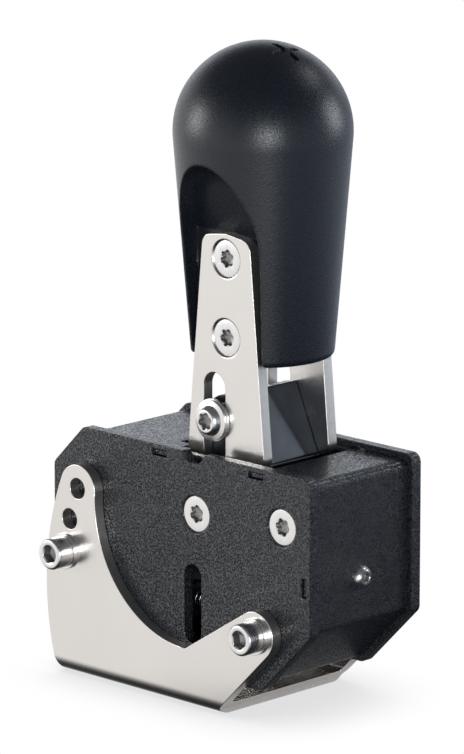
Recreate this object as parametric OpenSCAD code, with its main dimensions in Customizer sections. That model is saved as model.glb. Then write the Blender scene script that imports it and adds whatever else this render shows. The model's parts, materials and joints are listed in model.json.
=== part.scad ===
// Sequential gear shifter for a driving simulator: a stainless U bracket, a black housing of
// two plates and folded covers, and a pivoting lever with a bulb knob that slides up and down.
// X is the shift direction, Y runs across the housing, Z is up. X = 0 is the knob's axis and
// Z = 0 the underside of the bracket.

/* [Bracket] */
// Outside width of the bracket across its two wings
bracket_w = 58; // [56:0.5:64]
// Thickness of the bracket's sheet
bracket_t = 4; // [3:0.5:5]
// Outside radius of the bracket's bends
bend_r = 5.5; // [5.2:0.1:7]
// Front end of the base plate, from the knob's axis
base_front_x = 8.5; // [4:0.5:12]
// Tilt pivot, from the knob's axis
tilt_pivot_x = 24.7; // [23:0.1:27]
// Tilt pivot's height
tilt_pivot_z = 29; // [27:0.1:32]
// Distance from the tilt pivot to the row of index holes
index_r = 85; // [83:0.5:88]
// Angle of the lowest index hole around the tilt pivot
index_angle = 172.2; // [170:0.1:174]
// Angle between neighbouring index holes
index_step = 7.5; // [7:0.1:9]
// Number of index holes in each wing
index_count = 3; // [2:1:3]
// Radius of the ears around the holes
ear_r = 7.8; // [7.2:0.1:9]
// Slope of the edge that leads up to the front ear
front_edge_angle = 32.2; // [28:0.2:36]
// Centre of the scooped edge, from the knob's axis
scoop_x = -5.2; // [-7:0.1:-3]
// Height of the scooped edge's centre
scoop_z = 59.8; // [57:0.1:61]
// Spacing of the base's holes along the shift direction
base_hole_dx = 50; // [40:1:52]
// Spacing of the base's holes across it
base_hole_dy = 30; // [24:1:34]
// Middle of the base's hole pattern
base_hole_x = -28; // [-32:1:-26]

/* [Housing] */
// From the lowest index hole to the left end of the side plates
left_margin = 8.9; // [8:0.1:10]
// Right end of the side plates
house_x1 = 44.4; // [42:0.1:50]
// Underside of the side plates
house_z0 = 10.2; // [8:0.1:10.4]
// Top of the side plates
house_z1 = 81.2; // [80.6:0.1:83]
// Chamfer at the top left corner
chamfer_top = 13.4; // [10:0.1:15]
// Chamfer at both lower corners
chamfer_low = 20.8; // [16:0.1:22]
// Thickness of the side plates
plate_t = 4; // [3.6:0.1:5]
// Corner radius of the side plates
plate_corner_r = 3; // [1:0.5:4]
// Thickness of the folded covers
cover_t = 1.5; // [1:0.1:1.8]
// How far the covers lie inside the plates' outline
cover_inset = 1.9; // [1.4:0.1:2.4]
// Outside bend radius of the covers
cover_bend_r = 3; // [2.2:0.1:4]
// Width of the covers' tabs
tab_w = 5.6; // [4:0.1:6.4]
// Left one of the two top tabs, from the knob's axis
top_tab_left = -20.9; // [-22:0.1:-19]
// Right one of the two top tabs
top_tab_right = 21.2; // [19:0.1:24]
// Height of the tab in the right wall
side_tab_z = 46.6; // [42:0.2:50]
// Left one of the bottom cover's two tabs
low_tab_left = -26; // [-30:0.5:-22]
// Right one of the bottom cover's two tabs
low_tab_right = 5; // [2:0.5:8]
// Lever opening: left end of its narrow part
opening_x0 = -24.8; // [-26:0.1:-24]
// Lever opening: left end of its wide part
opening_x1 = -19.6; // [-21:0.1:-19.4]
// Lever opening: right end
opening_x2 = 20.4; // [20:0.1:24]
// Half width of the opening's narrow part
opening_narrow = 11.2; // [9:0.1:12]
// From the opening's wide part to the side plates
opening_edge = 2.8; // [2.4:0.1:3.6]
// Spacer post, from the knob's axis
post_x = 32.2; // [30:0.1:34]
// Spacer post's height
post_z = 64.2; // [62:0.1:66]
// Radius of the spacer post and the index bar
post_r = 5; // [4.5:0.1:5.6]
// Slot in the side plates: its middle line
slot_x = -6.2; // [-8:0.1:-5]
// Slot in the side plates: its width
slot_w = 7.3; // [6:0.1:8]
// Slot in the side plates: its lower end
slot_z0 = 19.8; // [18:0.1:22]
// Slot in the side plates: its upper end
slot_z1 = 45.2; // [42:0.1:47]
// Notch in the plates' top edge: its middle
notch_x = -5.9; // [-7:0.1:-4.5]
// Notch radius
notch_r = 4.8; // [4:0.1:5.5]
// Depth of the notch
notch_depth = 3.6; // [2:0.1:4.4]

/* [Lever] */
// Pivot, clamp screws and slot line, from the knob's axis
lever_x = -4.9; // [-5.4:0.1:-4.4]
// Height of the lever's pivot
pivot_z = 61.7; // [61:0.1:62.6]
// Radius of the pivot axle
axle_r = 4.5; // [4.2:0.05:4.6]
// Running clearance around the axle
running_gap = 0.05; // [0.02:0.01:0.09]
// Outside radius of the pivot bushes
bush_r = 6; // [5.6:0.1:7]
// Radius of the lever arm's boss around the pivot
boss_r = 12; // [11.4:0.1:12.2]
// Length of the pivot spacers between the housing and the lever
spacer_len = 4.2; // [4:0.1:4.6]
// Radius of the pivot spacers
spacer_r = 7; // [6.5:0.1:8]
// Side play of the lever between the spacers
side_play = 0.3; // [0.1:0.05:0.4]
// Thickness of the lever plates
lever_t = 4; // [3:0.1:4.2]
// Side clearance between sliding faces
slide_gap = 0.1; // [0.05:0.01:0.2]
// Top of the lever plates
lever_top = 149.7; // [149.2:0.1:153]
// Half width of the lever plates at the top
lever_top_hw = 10.2; // [9.8:0.1:10.6]
// Largest half width of the lever plates
lever_mid_hw = 16.6; // [16.2:0.1:17]
// Height of the lever plates' widest place
lever_mid_z = 80; // [79:0.5:81]
// Corner radius of the lever plates
lever_corner_r = 3.8; // [2:0.1:4]
// Half width of the lever plates' fork
fork_hw = 10.5; // [9.6:0.1:11]
// Height where the fork reaches its width
fork_z = 66; // [64:0.5:68]
// Lower end of the lever plates' fork
lever_foot = 45; // [43:0.5:50]
// Width of the height slot in the lever plates
height_slot_w = 9.3; // [9.2:0.1:10]
// Upper end of the height slot
height_slot_top = 105.6; // [104:0.1:107]
// Height of the clamp screws
clamp_z = 90.6; // [89.6:0.1:92]
// Height of the upper knob screws
knob_screw_z = 142.3; // [141:0.1:143.6]
// Distance between the upper and lower knob screws
knob_screw_dz = 25; // [23:0.5:25.5]
// Top of the lever arm
arm_top = 99.6; // [98.4:0.1:99.9]
// Height of the small ledge around the arm
ledge_z = 77.9; // [77:0.1:78.6]
// Half width of the arm above the pivot
arm_hw = 11.5; // [11:0.1:12]
// Right end of the arm's top, from the pivot
arm_top_hw = 7.5; // [7:0.1:8]
// Height of the arm's rounded shoulder
arm_shoulder = 8; // [6:0.5:9]
// How far the ledge stands out, from the pivot
ledge_out = 18.1; // [17.4:0.1:18.4]
// Thickness of the ledge
ledge_t = 1.1; // [0.8:0.1:1.4]
// Bottom of the arm's tail
tail_z = 19.5; // [19.2:0.1:21]
// Half width of the tail
tail_hw = 6; // [5:0.1:6.4]
// Half width of the tail where it meets the rubber stops
tail_stop_hw = 9; // [8:0.1:9.4]
// Height of the slope between the tail's two widths
tail_step = 5; // [4:0.5:6]
// Half depth of the tail across the housing
tail_hd = 8; // [6:0.5:10]
// Largest swing of the lever each way, degrees
swing = 7; // [5:0.5:7.5]

/* [Knob] */
// Radius of the knob's dome
knob_r = 28; // [26:0.1:29.5]
// Top of the knob
knob_top = 208.4; // [204:0.1:212]
// Taper of the knob's side, degrees
knob_taper = 4.66; // [3.5:0.02:5.2]
// Underside of the knob
knob_z0 = 109.9; // [109.8:0.1:112]
// Radius of the knob's lower edge
knob_edge_r = 1.5; // [0.5:0.1:2]
// Half width of the side recess at its spring line
recess_hw = 16.5; // [16:0.1:17.4]
// Half width of the side recess at the bottom
recess_foot_hw = 14.9; // [14.6:0.1:16]
// Height where the recess starts to arch
recess_spring_z = 146; // [143:0.5:149]
// Rise of the recess's arch
recess_rise = 27; // [24:0.5:28]
// Height where the recess's floor starts to slope outwards
recess_slope_z = 151; // [150.6:0.1:154]
// Slope of that floor, degrees from upright
recess_slope = 24; // [15:1:30]
// Half width of the metal core
core_hw = 9; // [8:0.5:11]

/* [Fasteners] */
// Radius of the large screws' shanks
m6_r = 3; // [2.9:0.05:3]
// Radius of their clearance holes
m6_hole_r = 3.3; // [3.2:0.05:3.5]
// Radius of a socket cap head
cap_r = 5; // [4.8:0.1:5.2]
// Height of a socket cap head
cap_h = 6; // [5:0.1:6.4]
// Radius of a countersunk head
csk_r = 5.75; // [5.5:0.05:5.9]
// Radius of the countersinks
sink_r = 6.3; // [6.2:0.05:6.6]
// Length of the large screws
m6_len = 16; // [14:0.5:16]
// Radius of the bracket's washers
washer_r = 5.8; // [5.6:0.1:6.6]
// Thickness of the bracket's washers
washer_t = 1; // [0.8:0.1:1.6]
// Radius of the clamp screws' flange and washer
flange_r = 6.8; // [6.2:0.1:7.2]
// Thickness of the clamp screws' washer
flange_washer_t = 0.9; // [0.8:0.1:1.4]
// Radius of the small screws' shanks
m4_r = 2; // [1.8:0.1:2]
// Gap between a screw and its thread
thread_gap = 0.05; // [0.02:0.01:0.1]

/* [Inside] */
// Height of the centring springs
spring_z = 25.5; // [25:0.1:27]
// Outside radius of the springs
spring_r = 4.2; // [4:0.1:4.6]
// Radius of the spring wire
wire_r = 0.55; // [0.5:0.01:0.6]
// Number of curls in each spring
curls = 6; // [5:1:6]
// Thickness of the spring cups
cup_t = 1.6; // [1.4:0.1:4]
// Radius of the spring cups
cup_r = 5.5; // [5:0.1:6]
// Thickness of the end blocks
block_t = 10; // [9:0.5:10.6]
// Lower side of the end blocks
block_z0 = 19; // [18.4:0.1:19.8]
// Upper side of the end blocks
block_z1 = 52; // [51:0.1:53]
// Height of the left block's screws
block_screw_z = 23; // [22.8:0.1:24]
// Height of the rubber stops and the cover screw
stop_z = 45.8; // [45:0.1:46.4]
// Radius of the rubber stops
stop_r = 4.5; // [4:0.1:5]
// Length of the rubber stops
stop_len = 5.5; // [4.5:0.1:6]
// Air between a rubber stop and the tail at full swing
stop_gap = 0.35; // [0.3:0.05:0.6]
// Thickness of the circuit boards
board_t = 1.6; // [1:0.1:1.6]
// Height of the board pads above the bottom cover
board_pad_h = 1.5; // [1.2:0.1:1.8]
// Height of the position sensor's chip
chip_h = 1.2; // [0.8:0.1:1.4]
// Distance from the left wall to the main board
board_depth = 12; // [11:0.5:14]
// Height of the data socket's middle
socket_z = 55.8; // [55:0.1:57]

/* [Hidden] */

steel = [0.86, 0.84, 0.81];
bright = [0.80, 0.80, 0.80];
black = [0.13, 0.13, 0.14];
rubber = [0.08, 0.09, 0.10];
brass = [0.78, 0.62, 0.30];
green = [0.10, 0.32, 0.18];

round_fn = 72;
small_fn = 36;
far = 200;
cut = 1;

// Faces across the housing, measured from the middle plane
house_out = bracket_w / 2 - bracket_t;
house_in = house_out - plate_t;
lever_out = house_in - spacer_len - side_play;
lever_in = lever_out - lever_t;
opening_wide = house_in - opening_edge;
arm_hd = lever_in - slide_gap;
clamp_in = lever_out + slide_gap;
clamp_seat = clamp_in + flange_washer_t;
cap_seat = bracket_w / 2 + washer_t;
csk_drop = sink_r - csk_r;
bush_len = arm_hd - 2.4;
clamp_tip = 2.2;
knob_tip = 2.95;

// Faces of the housing along the shift direction and up
house_x0 = index_point(0).x - left_margin;
shell_x0 = house_x0 + cover_inset;
shell_x1 = house_x1 - cover_inset;
shell_z1 = house_z1 - cover_inset;
inner_x0 = shell_x0 + cover_t;
inner_x1 = shell_x1 - cover_t;
inner_z0 = house_z0 + cover_inset + cover_t;
cover_split_x = 20;
cover_split_z = 30;
cover_gap = 0.2;
tab_gap = 0.25;
top_tabs = [top_tab_left, top_tab_right];
low_tabs = [low_tab_left, low_tab_right];
tab_reach = plate_t - 0.8;

// End blocks, springs and stops, measured from the lever's line
block_mid = tilt_pivot_x - lever_x;
block_face = block_mid - block_t / 2;
cup_face = block_face - cup_t;
stop_face = tail_stop_hw * cos(swing) + (pivot_z - stop_z + stop_r) * sin(swing) + stop_gap;
stop_seat = stop_face + stop_len;
block_step_z = stop_z - stop_r - 3.3;
spigot_r = spring_r - 2 * wire_r - 0.2;
spigot_len = 3;
peg_r = 2.5;
peg_len = 3;
stud_r = 2;
stud_len = 4;
stop_margin = 0.8;
tube_r = 4;
m4_len = 18;
m4_head_r = 3.6;
m4_head_h = 2.2;
m3_r = 1.5;
m3_head_r = 2.8;
m3_head_h = 1.6;
m3_wall_len = 6;
m3_board_len = 5;
m2_r = 0.9;
m2_head_r = 1.8;
m2_head_h = 0.9;
flange_h = 1;
dome_r = 5.3;
dome_top_r = 3.8;
dome_h = 2.3;

board_z0 = inner_z0 + board_pad_h;
board_hx = 14;
board_hy = 10;
board_screw_x = 11;
board_screw_y = 7;
magnet_r = 3;
magnet_h = 3;
pad_r = 2.2;
chip_w = 4;
main_x = inner_x0 + board_depth;
main_hy = 16;
main_z0 = 47.6;
main_z1 = 68;
main_screw_y = 12;
main_screw_z = 50.6;
socket_hw = 6.5;
socket_hh = 5.3;
socket_lip = 0.8;
port_hw = 4.9;
port_z0 = socket_z - 3.8;
port_z1 = socket_z + 4;
contact_x = 2;
contact_len = 7.5;
contact_w = 0.4;
contact_h = 0.9;
contact_pitch = 1.27;
standoff_r = 2.8;
processor_w = 8;
processor_h = 1.3;

// Rounding of an outline's corners by arcs
function unit(v) = v / norm(v);
function corner(a, b, c, r, n) =
    let (
        u = unit(a - b),
        v = unit(c - b),
        half = acos(u * v) / 2,
        mid = b + unit(u + v) * r / sin(half),
        start = b + u * r / tan(half),
        end = b + v * r / tan(half),
        a0 = atan2(start.y - mid.y, start.x - mid.x),
        a1 = atan2(end.y - mid.y, end.x - mid.x),
        turn = (a1 - a0 + 540) % 360 - 180
    )
    [for (i = [0:n]) mid + r * [cos(a0 + turn * i / n), sin(a0 + turn * i / n)]];
function rounded(points, r, n = 6) =
    let (m = len(points))
    [for (i = [0:m - 1]) each corner(points[(i + m - 1) % m], points[i], points[(i + 1) % m], r, n)];

// The housing's outline, moved inwards by i
function house_outline(i) =
    let (
        x0 = house_x0 + i,
        x1 = house_x1 - i,
        z0 = house_z0 + i,
        z1 = house_z1 - i,
        top = chamfer_top - i * (2 - sqrt(2)),
        low = chamfer_low - i * (2 - sqrt(2))
    )
    [[x0 + low, z0], [x1 - low, z0], [x1, z0 + low], [x1, z1], [x0 + top, z1], [x0, z1 - top], [x0, z0 + low]];

function index_point(k) =
    [tilt_pivot_x + index_r * cos(index_angle - k * index_step),
     tilt_pivot_z + index_r * sin(index_angle - k * index_step)];

// A six-lobed driver recess
function lobes(r) = [for (a = [0:15:345]) (r + 0.35 * cos(6 * a)) * [cos(a), sin(a)]];

// Outlines drawn in X and Z, extruded across the housing
module across(y0, y1) {
    translate([0, y1, 0]) rotate([90, 0, 0]) linear_extrude(y1 - y0) children();
}

module rod_across(x, z, r, y0, y1, fn = small_fn) {
    translate([x, y1, z]) rotate([90, 0, 0]) cylinder(r = r, h = y1 - y0, $fn = fn);
}

module rod_along(x0, x1, y, z, r, fn = small_fn) {
    translate([x0, y, z]) rotate([0, 90, 0]) cylinder(r = r, h = x1 - x0, $fn = fn);
}

module both_sides() {
    children();
    mirror([0, 1, 0]) children();
}

module both_ends() {
    children();
    translate([lever_x, 0, 0]) mirror([1, 0, 0]) translate([-lever_x, 0, 0]) children();
}

// Turns a screw drawn upright so that its head looks out of the front side
module facing_front(x, y, z) {
    translate([x, -y, z]) rotate([90, 0, 0]) children();
}

// Screws stand upright: a seated head starts at Z = 0, a sunk head ends there
module cap_screw(length) {
    difference() {
        union() {
            cylinder(r = cap_r, h = cap_h, $fn = small_fn);
            translate([0, 0, -length]) cylinder(r = m6_r, h = length + 0.1, $fn = small_fn);
        }
        translate([0, 0, cap_h - 3.4]) cylinder(d = 5 / cos(30), h = 4, $fn = 6);
    }
}

module csk_screw(length) {
    head_h = csk_r - m6_r;
    difference() {
        union() {
            translate([0, 0, -head_h]) cylinder(r1 = m6_r, r2 = csk_r, h = head_h, $fn = small_fn);
            translate([0, 0, -length]) cylinder(r = m6_r, h = length - head_h + 0.1, $fn = small_fn);
        }
        translate([0, 0, -2]) linear_extrude(3) polygon(lobes(2.35));
    }
}

module flange_screw(length) {
    difference() {
        union() {
            cylinder(r = flange_r - 0.3, h = flange_h, $fn = small_fn);
            translate([0, 0, flange_h - 0.1]) cylinder(r1 = dome_r, r2 = dome_top_r, h = dome_h + 0.1, $fn = small_fn);
            translate([0, 0, -length]) cylinder(r = m6_r, h = length + 0.1, $fn = small_fn);
        }
        translate([0, 0, flange_h + dome_h - 2.2]) linear_extrude(3) polygon(lobes(2.2));
    }
}

module button_screw(r, head_r, head_h, length) {
    difference() {
        union() {
            cylinder(r1 = head_r, r2 = head_r * 0.7, h = head_h, $fn = small_fn);
            translate([0, 0, -length]) cylinder(r = r, h = length + 0.1, $fn = small_fn);
        }
        translate([0, 0, head_h * 0.4]) cylinder(r = r * 0.72, h = head_h, $fn = 6);
    }
}

// A threaded hole from the front face of a bar, and its clearance for the screw's end
module tapped_front(x, y, z, end_y) {
    rod_across(x, z, m6_r + thread_gap, -y - cut, -end_y + 0.5);
}

// Bracket

module wing_outline() {
    pivot = [tilt_pivot_x, tilt_pivot_z];
    last = index_point(index_count - 1);
    away = unit(last - pivot);
    scoop = [scoop_x, scoop_z];
    scoop_r = norm(scoop - last) - ear_r;
    upper = pivot + ear_r * [-sin(front_edge_angle), cos(front_edge_angle)];
    lower = pivot + ear_r * [sin(45), -cos(45)];
    cusp_x = scoop_x - 0.6;
    cusp = [cusp_x, upper.y - (upper.x - cusp_x) * tan(front_edge_angle)];
    beyond = last + 30 * away;
    difference() {
        intersection() {
            translate(pivot) circle(r = index_r + ear_r, $fn = 180);
            polygon([
                [-far, 0], [base_front_x, 0], [base_front_x, lower.y - lower.x + base_front_x],
                lower, upper, cusp, [cusp_x, last.y], last, beyond, [-far, beyond.y]
            ]);
        }
        intersection() {
            translate(scoop) circle(r = scoop_r, $fn = 144);
            translate([-far, 0]) square([far + cusp_x, far]);
        }
    }
    translate(pivot) circle(r = ear_r, $fn = round_fn);
    translate(last) circle(r = ear_r, $fn = round_fn);
}

module u_section(hw, z0, r) {
    translate([-hw, z0 + r]) square([2 * hw, far]);
    translate([-hw + r, z0]) square([2 * (hw - r), far]);
    for (s = [-1, 1]) translate([s * (hw - r), z0 + r]) circle(r = r, $fn = round_fn);
}

module bracket() {
    color(steel)
    difference() {
        intersection() {
            across(-bracket_w / 2, bracket_w / 2) wing_outline();
            translate([-far, 0, 0]) rotate([90, 0, 90]) linear_extrude(2 * far) difference() {
                u_section(bracket_w / 2, 0, bend_r);
                u_section(house_out, bracket_t, bend_r - bracket_t);
            }
        }
        rod_across(tilt_pivot_x, tilt_pivot_z, m6_hole_r, -far, far);
        for (k = [0:index_count - 1])
            rod_across(index_point(k).x, index_point(k).y, m6_hole_r, -far, far);
        for (sx = [-1, 1], sy = [-1, 1])
            translate([base_hole_x + sx * base_hole_dx / 2, sy * base_hole_dy / 2, -cut])
                cylinder(r = m6_hole_r, h = bracket_t + 2 * cut, $fn = small_fn);
    }
}

module washer_ring(x, z) {
    difference() {
        rod_across(x, z, washer_r, bracket_w / 2, cap_seat);
        rod_across(x, z, m6_hole_r, bracket_w / 2 - cut, cap_seat + cut);
    }
}

module bracket_washers() {
    color(bright) both_sides() {
        washer_ring(tilt_pivot_x, tilt_pivot_z);
        washer_ring(index_point(0).x, index_point(0).y);
    }
}

module tilt_pivot_screws() {
    color(bright) both_sides() facing_front(tilt_pivot_x, cap_seat, tilt_pivot_z) cap_screw(m6_len);
}

module tilt_index_screws() {
    color(bright) both_sides() facing_front(index_point(0).x, cap_seat, index_point(0).y) cap_screw(m6_len);
}

// Housing

module tab_slot(x, z, w, h) {
    translate([x - w / 2 - tab_gap, z - h / 2 - tab_gap]) square([w + 2 * tab_gap, h + 2 * tab_gap]);
}

module side_plate() {
    notch_z = house_z1 - notch_depth + notch_r;
    difference() {
        across(-house_out, -house_in) difference() {
            polygon(rounded(house_outline(0), plate_corner_r));
            translate([notch_x, notch_z]) circle(r = notch_r, $fn = small_fn);
            translate([slot_x - slot_w / 2, slot_z0 + slot_w / 2])
                square([slot_w, slot_z1 - slot_z0 - slot_w]);
            for (z = [slot_z0 + slot_w / 2, slot_z1 - slot_w / 2])
                translate([slot_x, z]) circle(d = slot_w, $fn = small_fn);
            for (x = top_tabs) tab_slot(x, shell_z1 - cover_t / 2, tab_w, cover_t);
            for (x = low_tabs) tab_slot(x, inner_z0 - cover_t / 2, tab_w, cover_t);
            tab_slot(shell_x1 - cover_t / 2, side_tab_z, cover_t, tab_w);
            translate([tilt_pivot_x, tilt_pivot_z]) circle(r = m6_hole_r, $fn = small_fn);
            translate(index_point(0)) circle(r = m6_hole_r, $fn = small_fn);
            for (p = plate_screw_points()) translate(p) circle(r = m6_hole_r, $fn = small_fn);
        }
        for (p = plate_screw_points())
            facing_front(p.x, house_out, p.y) translate([0, 0, -(sink_r - m6_r)])
                cylinder(r1 = m6_r, r2 = sink_r + cut, h = sink_r - m6_r + cut, $fn = small_fn);
    }
}

function plate_screw_points() =
    [[lever_x, pivot_z], [post_x, post_z], [lever_x - block_mid, block_screw_z]];

module side_plate_front() {
    color(black) side_plate();
}

module side_plate_rear() {
    color(black) mirror([0, 1, 0]) side_plate();
}

module cover_ring() {
    difference() {
        polygon(rounded(house_outline(cover_inset), cover_bend_r));
        polygon(rounded(house_outline(cover_inset + cover_t), cover_bend_r - cover_t));
    }
}

module low_part(grow) {
    translate([-far, -far]) square([far + cover_split_x + grow, far + cover_split_z + grow]);
}

module tab(x, z, w, h) {
    both_sides() translate([x - w / 2, -house_in - tab_reach, z - h / 2]) cube([w, tab_reach + 0.1, h]);
}

module housing_shell() {
    color(black)
    difference() {
        union() {
            across(-house_in, house_in) difference() {
                cover_ring();
                low_part(cover_gap);
            }
            for (x = top_tabs) tab(x, shell_z1 - cover_t / 2, tab_w, cover_t);
            tab(shell_x1 - cover_t / 2, side_tab_z, cover_t, tab_w);
        }
        translate([opening_x0, -opening_narrow, shell_z1 - 2 * cover_t])
            cube([opening_x2 - opening_x0, 2 * opening_narrow, 3 * cover_t]);
        translate([opening_x1, -opening_wide, shell_z1 - 2 * cover_t])
            cube([opening_x2 - opening_x1, 2 * opening_wide, 3 * cover_t]);
        rod_along(inner_x1 - cut, shell_x1 + cut, 0, stop_z, m4_r + 0.2);
        translate([shell_x0 - cut, -socket_hw - slide_gap, socket_z - socket_hh - slide_gap])
            cube([cover_t + 2 * cut, 2 * (socket_hw + slide_gap), 2 * (socket_hh + slide_gap)]);
        for (s = [-1, 1])
            rod_along(shell_x0 - cut, inner_x0 + cut, s * main_screw_y, main_screw_z, m3_r + 0.15);
    }
}

module bottom_cover() {
    color(black) {
        across(-house_in, house_in) intersection() {
            cover_ring();
            low_part(0);
        }
        for (x = low_tabs) tab(x, inner_z0 - cover_t / 2, tab_w, cover_t);
    }
}

module plate_screws() {
    color(bright) both_sides() for (p = plate_screw_points())
        facing_front(p.x, house_out - csk_drop, p.y) csk_screw(m6_len);
}

module tie_bar(x, z, r, end_y) {
    difference() {
        rod_across(x, z, r, -house_in, house_in);
        both_sides() tapped_front(x, house_in, z, end_y);
    }
}

module spacer_post() {
    color(bright) tie_bar(post_x, post_z, post_r, house_out - csk_drop - m6_len);
}

module index_bar() {
    color(bright) tie_bar(index_point(0).x, index_point(0).y, post_r, cap_seat - m6_len);
}

module end_block_outline() {
    intersection() {
        union() {
            translate([lever_x + block_face, block_z0]) square([block_t, block_z1 - block_z0]);
            translate([lever_x + stop_seat, block_step_z])
                square([block_face - stop_seat + block_t / 2, block_z1 - block_step_z]);
        }
        polygon(house_outline(cover_inset + cover_t + cover_gap));
    }
}

module end_block(screw_z, end_y) {
    x = lever_x + block_mid;
    difference() {
        across(-house_in, house_in) end_block_outline();
        both_sides() tapped_front(x, house_in, screw_z, end_y);
        rod_along(x - block_t, lever_x + block_face + peg_len + 0.2, 0, spring_z, peg_r + thread_gap);
        rod_along(lever_x + stop_seat - cut, lever_x + stop_seat + stud_len + 0.2, 0, stop_z, stud_r + thread_gap);
    }
}

module end_block_right() {
    color(black) difference() {
        end_block(tilt_pivot_z, cap_seat - m6_len);
        rod_along(shell_x1 - m4_len - 0.5, far, 0, stop_z, m4_r + thread_gap);
    }
}

module end_block_left() {
    color(black) translate([2 * lever_x, 0, 0]) mirror([1, 0, 0])
        end_block(block_screw_z, house_out - csk_drop - m6_len);
}

module cover_screw() {
    color(bright) translate([shell_x1, 0, stop_z]) rotate([0, 90, 0]) button_screw(m4_r, m4_head_r, m4_head_h, m4_len);
}

module cover_spacer() {
    color(bright) difference() {
        rod_along(lever_x + block_mid + block_t / 2, inner_x1, 0, stop_z, tube_r);
        rod_along(0, far, 0, stop_z, m4_r + 0.2);
    }
}

// Pivot

module pivot_axle() {
    color(bright) tie_bar(lever_x, pivot_z, axle_r, house_out - csk_drop - m6_len);
}

module pivot_spacers() {
    color(bright) both_sides() difference() {
        rod_across(lever_x, pivot_z, spacer_r, -house_in, spacer_len - house_in);
        rod_across(lever_x, pivot_z, axle_r + running_gap, -far, 0);
    }
}

module pivot_bushes() {
    color(brass) both_sides() difference() {
        rod_across(lever_x, pivot_z, bush_r, -arm_hd, -arm_hd + bush_len);
        rod_across(lever_x, pivot_z, axle_r + running_gap, -far, 0);
    }
}

// Lever

module arm_outline() {
    ledge_low = ledge_z - ledge_t;
    translate([lever_x, 0]) polygon([
        [arm_top_hw, arm_top], [-0.22 * arm_hw, arm_top - 0.3 * arm_shoulder],
        [-0.52 * arm_hw, arm_top - 0.55 * arm_shoulder], [-0.75 * arm_hw, arm_top - arm_shoulder],
        [-arm_hw, ledge_low], [-arm_hw, pivot_z], [boss_r, pivot_z], [boss_r, ledge_low],
        [ledge_out, ledge_low], [ledge_out, ledge_z], [ledge_out - ledge_t, ledge_z]
    ]);
    translate([lever_x, pivot_z]) circle(r = boss_r, $fn = round_fn);
}

module tail_outline() {
    stop_low = stop_z - stop_r - stop_margin;
    toe = tail_hw / 3;
    translate([lever_x, 0]) polygon([
        [-tail_stop_hw, pivot_z - tail_step], [-tail_stop_hw, stop_low], [-tail_hw, stop_low - tail_step],
        [-tail_hw, tail_z + toe], [-tail_hw + toe, tail_z], [tail_hw - toe, tail_z],
        [tail_hw, tail_z + toe], [tail_hw, stop_low - tail_step], [tail_stop_hw, stop_low],
        [tail_stop_hw, pivot_z - tail_step]
    ]);
}

module lever_arm() {
    color(black) difference() {
        union() {
            across(-arm_hd, arm_hd) arm_outline();
            across(-tail_hd, tail_hd) tail_outline();
            rod_along(lever_x - tail_hw - spigot_len, lever_x + tail_hw + spigot_len, 0, spring_z, spigot_r);
        }
        rod_across(lever_x, pivot_z, bush_r, -far, far);
        both_sides() tapped_front(lever_x, arm_hd, clamp_z, clamp_tip);
        translate([lever_x, 0, tail_z - cut]) cylinder(r = magnet_r, h = magnet_h + cut, $fn = small_fn);
    }
}

module sensor_magnet() {
    color(bright) translate([lever_x, 0, tail_z]) cylinder(r = magnet_r, h = magnet_h, $fn = small_fn);
}

module lever_plate_outline() {
    crown = lever_top_hw * 0.08;
    difference() {
        polygon(rounded([
            [lever_top_hw, lever_top - crown], [lever_mid_hw, lever_mid_z], [lever_x + fork_hw, fork_z],
            [lever_x + fork_hw, lever_foot], [lever_x - fork_hw, lever_foot], [lever_x - fork_hw, fork_z],
            [-lever_mid_hw, lever_mid_z], [-lever_top_hw, lever_top - crown], [0, lever_top + 0.75 * crown]
        ], lever_corner_r, 4));
        translate([lever_x - height_slot_w / 2, 0])
            square([height_slot_w, height_slot_top - height_slot_w / 2]);
        translate([lever_x, height_slot_top - height_slot_w / 2]) circle(d = height_slot_w, $fn = small_fn);
        for (z = knob_screw_heights()) translate([0, z]) circle(r = m6_hole_r, $fn = small_fn);
    }
}

function knob_screw_heights() = [knob_screw_z, knob_screw_z - knob_screw_dz];

module lever_plate() {
    difference() {
        across(-lever_out, -lever_in) lever_plate_outline();
        for (z = knob_screw_heights())
            facing_front(0, lever_out, z) translate([0, 0, -(sink_r - m6_r)])
                cylinder(r1 = m6_r, r2 = sink_r + cut, h = sink_r - m6_r + cut, $fn = small_fn);
    }
}

module lever_plate_front() {
    color(steel) lever_plate();
}

module lever_plate_rear() {
    color(steel) mirror([0, 1, 0]) lever_plate();
}

module clamp_screws() {
    color(bright) both_sides() facing_front(lever_x, clamp_seat, clamp_z) flange_screw(clamp_seat - clamp_tip);
}

module clamp_washers() {
    color(bright) both_sides() difference() {
        rod_across(lever_x, clamp_z, flange_r, -clamp_seat, -clamp_in);
        rod_across(lever_x, clamp_z, m6_hole_r, -far, 0);
    }
}

module slot_bushes() {
    color(bright) both_sides() difference() {
        rod_across(lever_x, clamp_z, height_slot_w / 2 - 0.15, -clamp_in, -arm_hd);
        rod_across(lever_x, clamp_z, m6_hole_r, -far, 0);
    }
}

// Knob

module knob_profile() {
    mid_z = knob_top - knob_r;
    tangent_r = knob_r * cos(knob_taper);
    tangent_z = mid_z - knob_r * sin(knob_taper);
    foot_r = tangent_r - (tangent_z - knob_z0) * tan(knob_taper);
    edge = [foot_r - knob_edge_r * 0.95, knob_z0 + knob_edge_r];
    intersection() {
        union() {
            translate([0, mid_z]) circle(r = knob_r, $fn = 96);
            polygon([[0, knob_z0], [edge.x, knob_z0], [foot_r, edge.y], [tangent_r, tangent_z], [0, mid_z]]);
            translate(edge) circle(r = knob_edge_r, $fn = small_fn);
        }
        translate([0, knob_z0]) square([far, far]);
    }
}

module recess_outline() {
    polygon(concat(
        [[-recess_foot_hw, knob_z0 - cut], [recess_foot_hw, knob_z0 - cut]],
        [for (a = [0:7.5:180]) [recess_hw * cos(a), recess_spring_z + recess_rise * sin(a)]]
    ));
}

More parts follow.
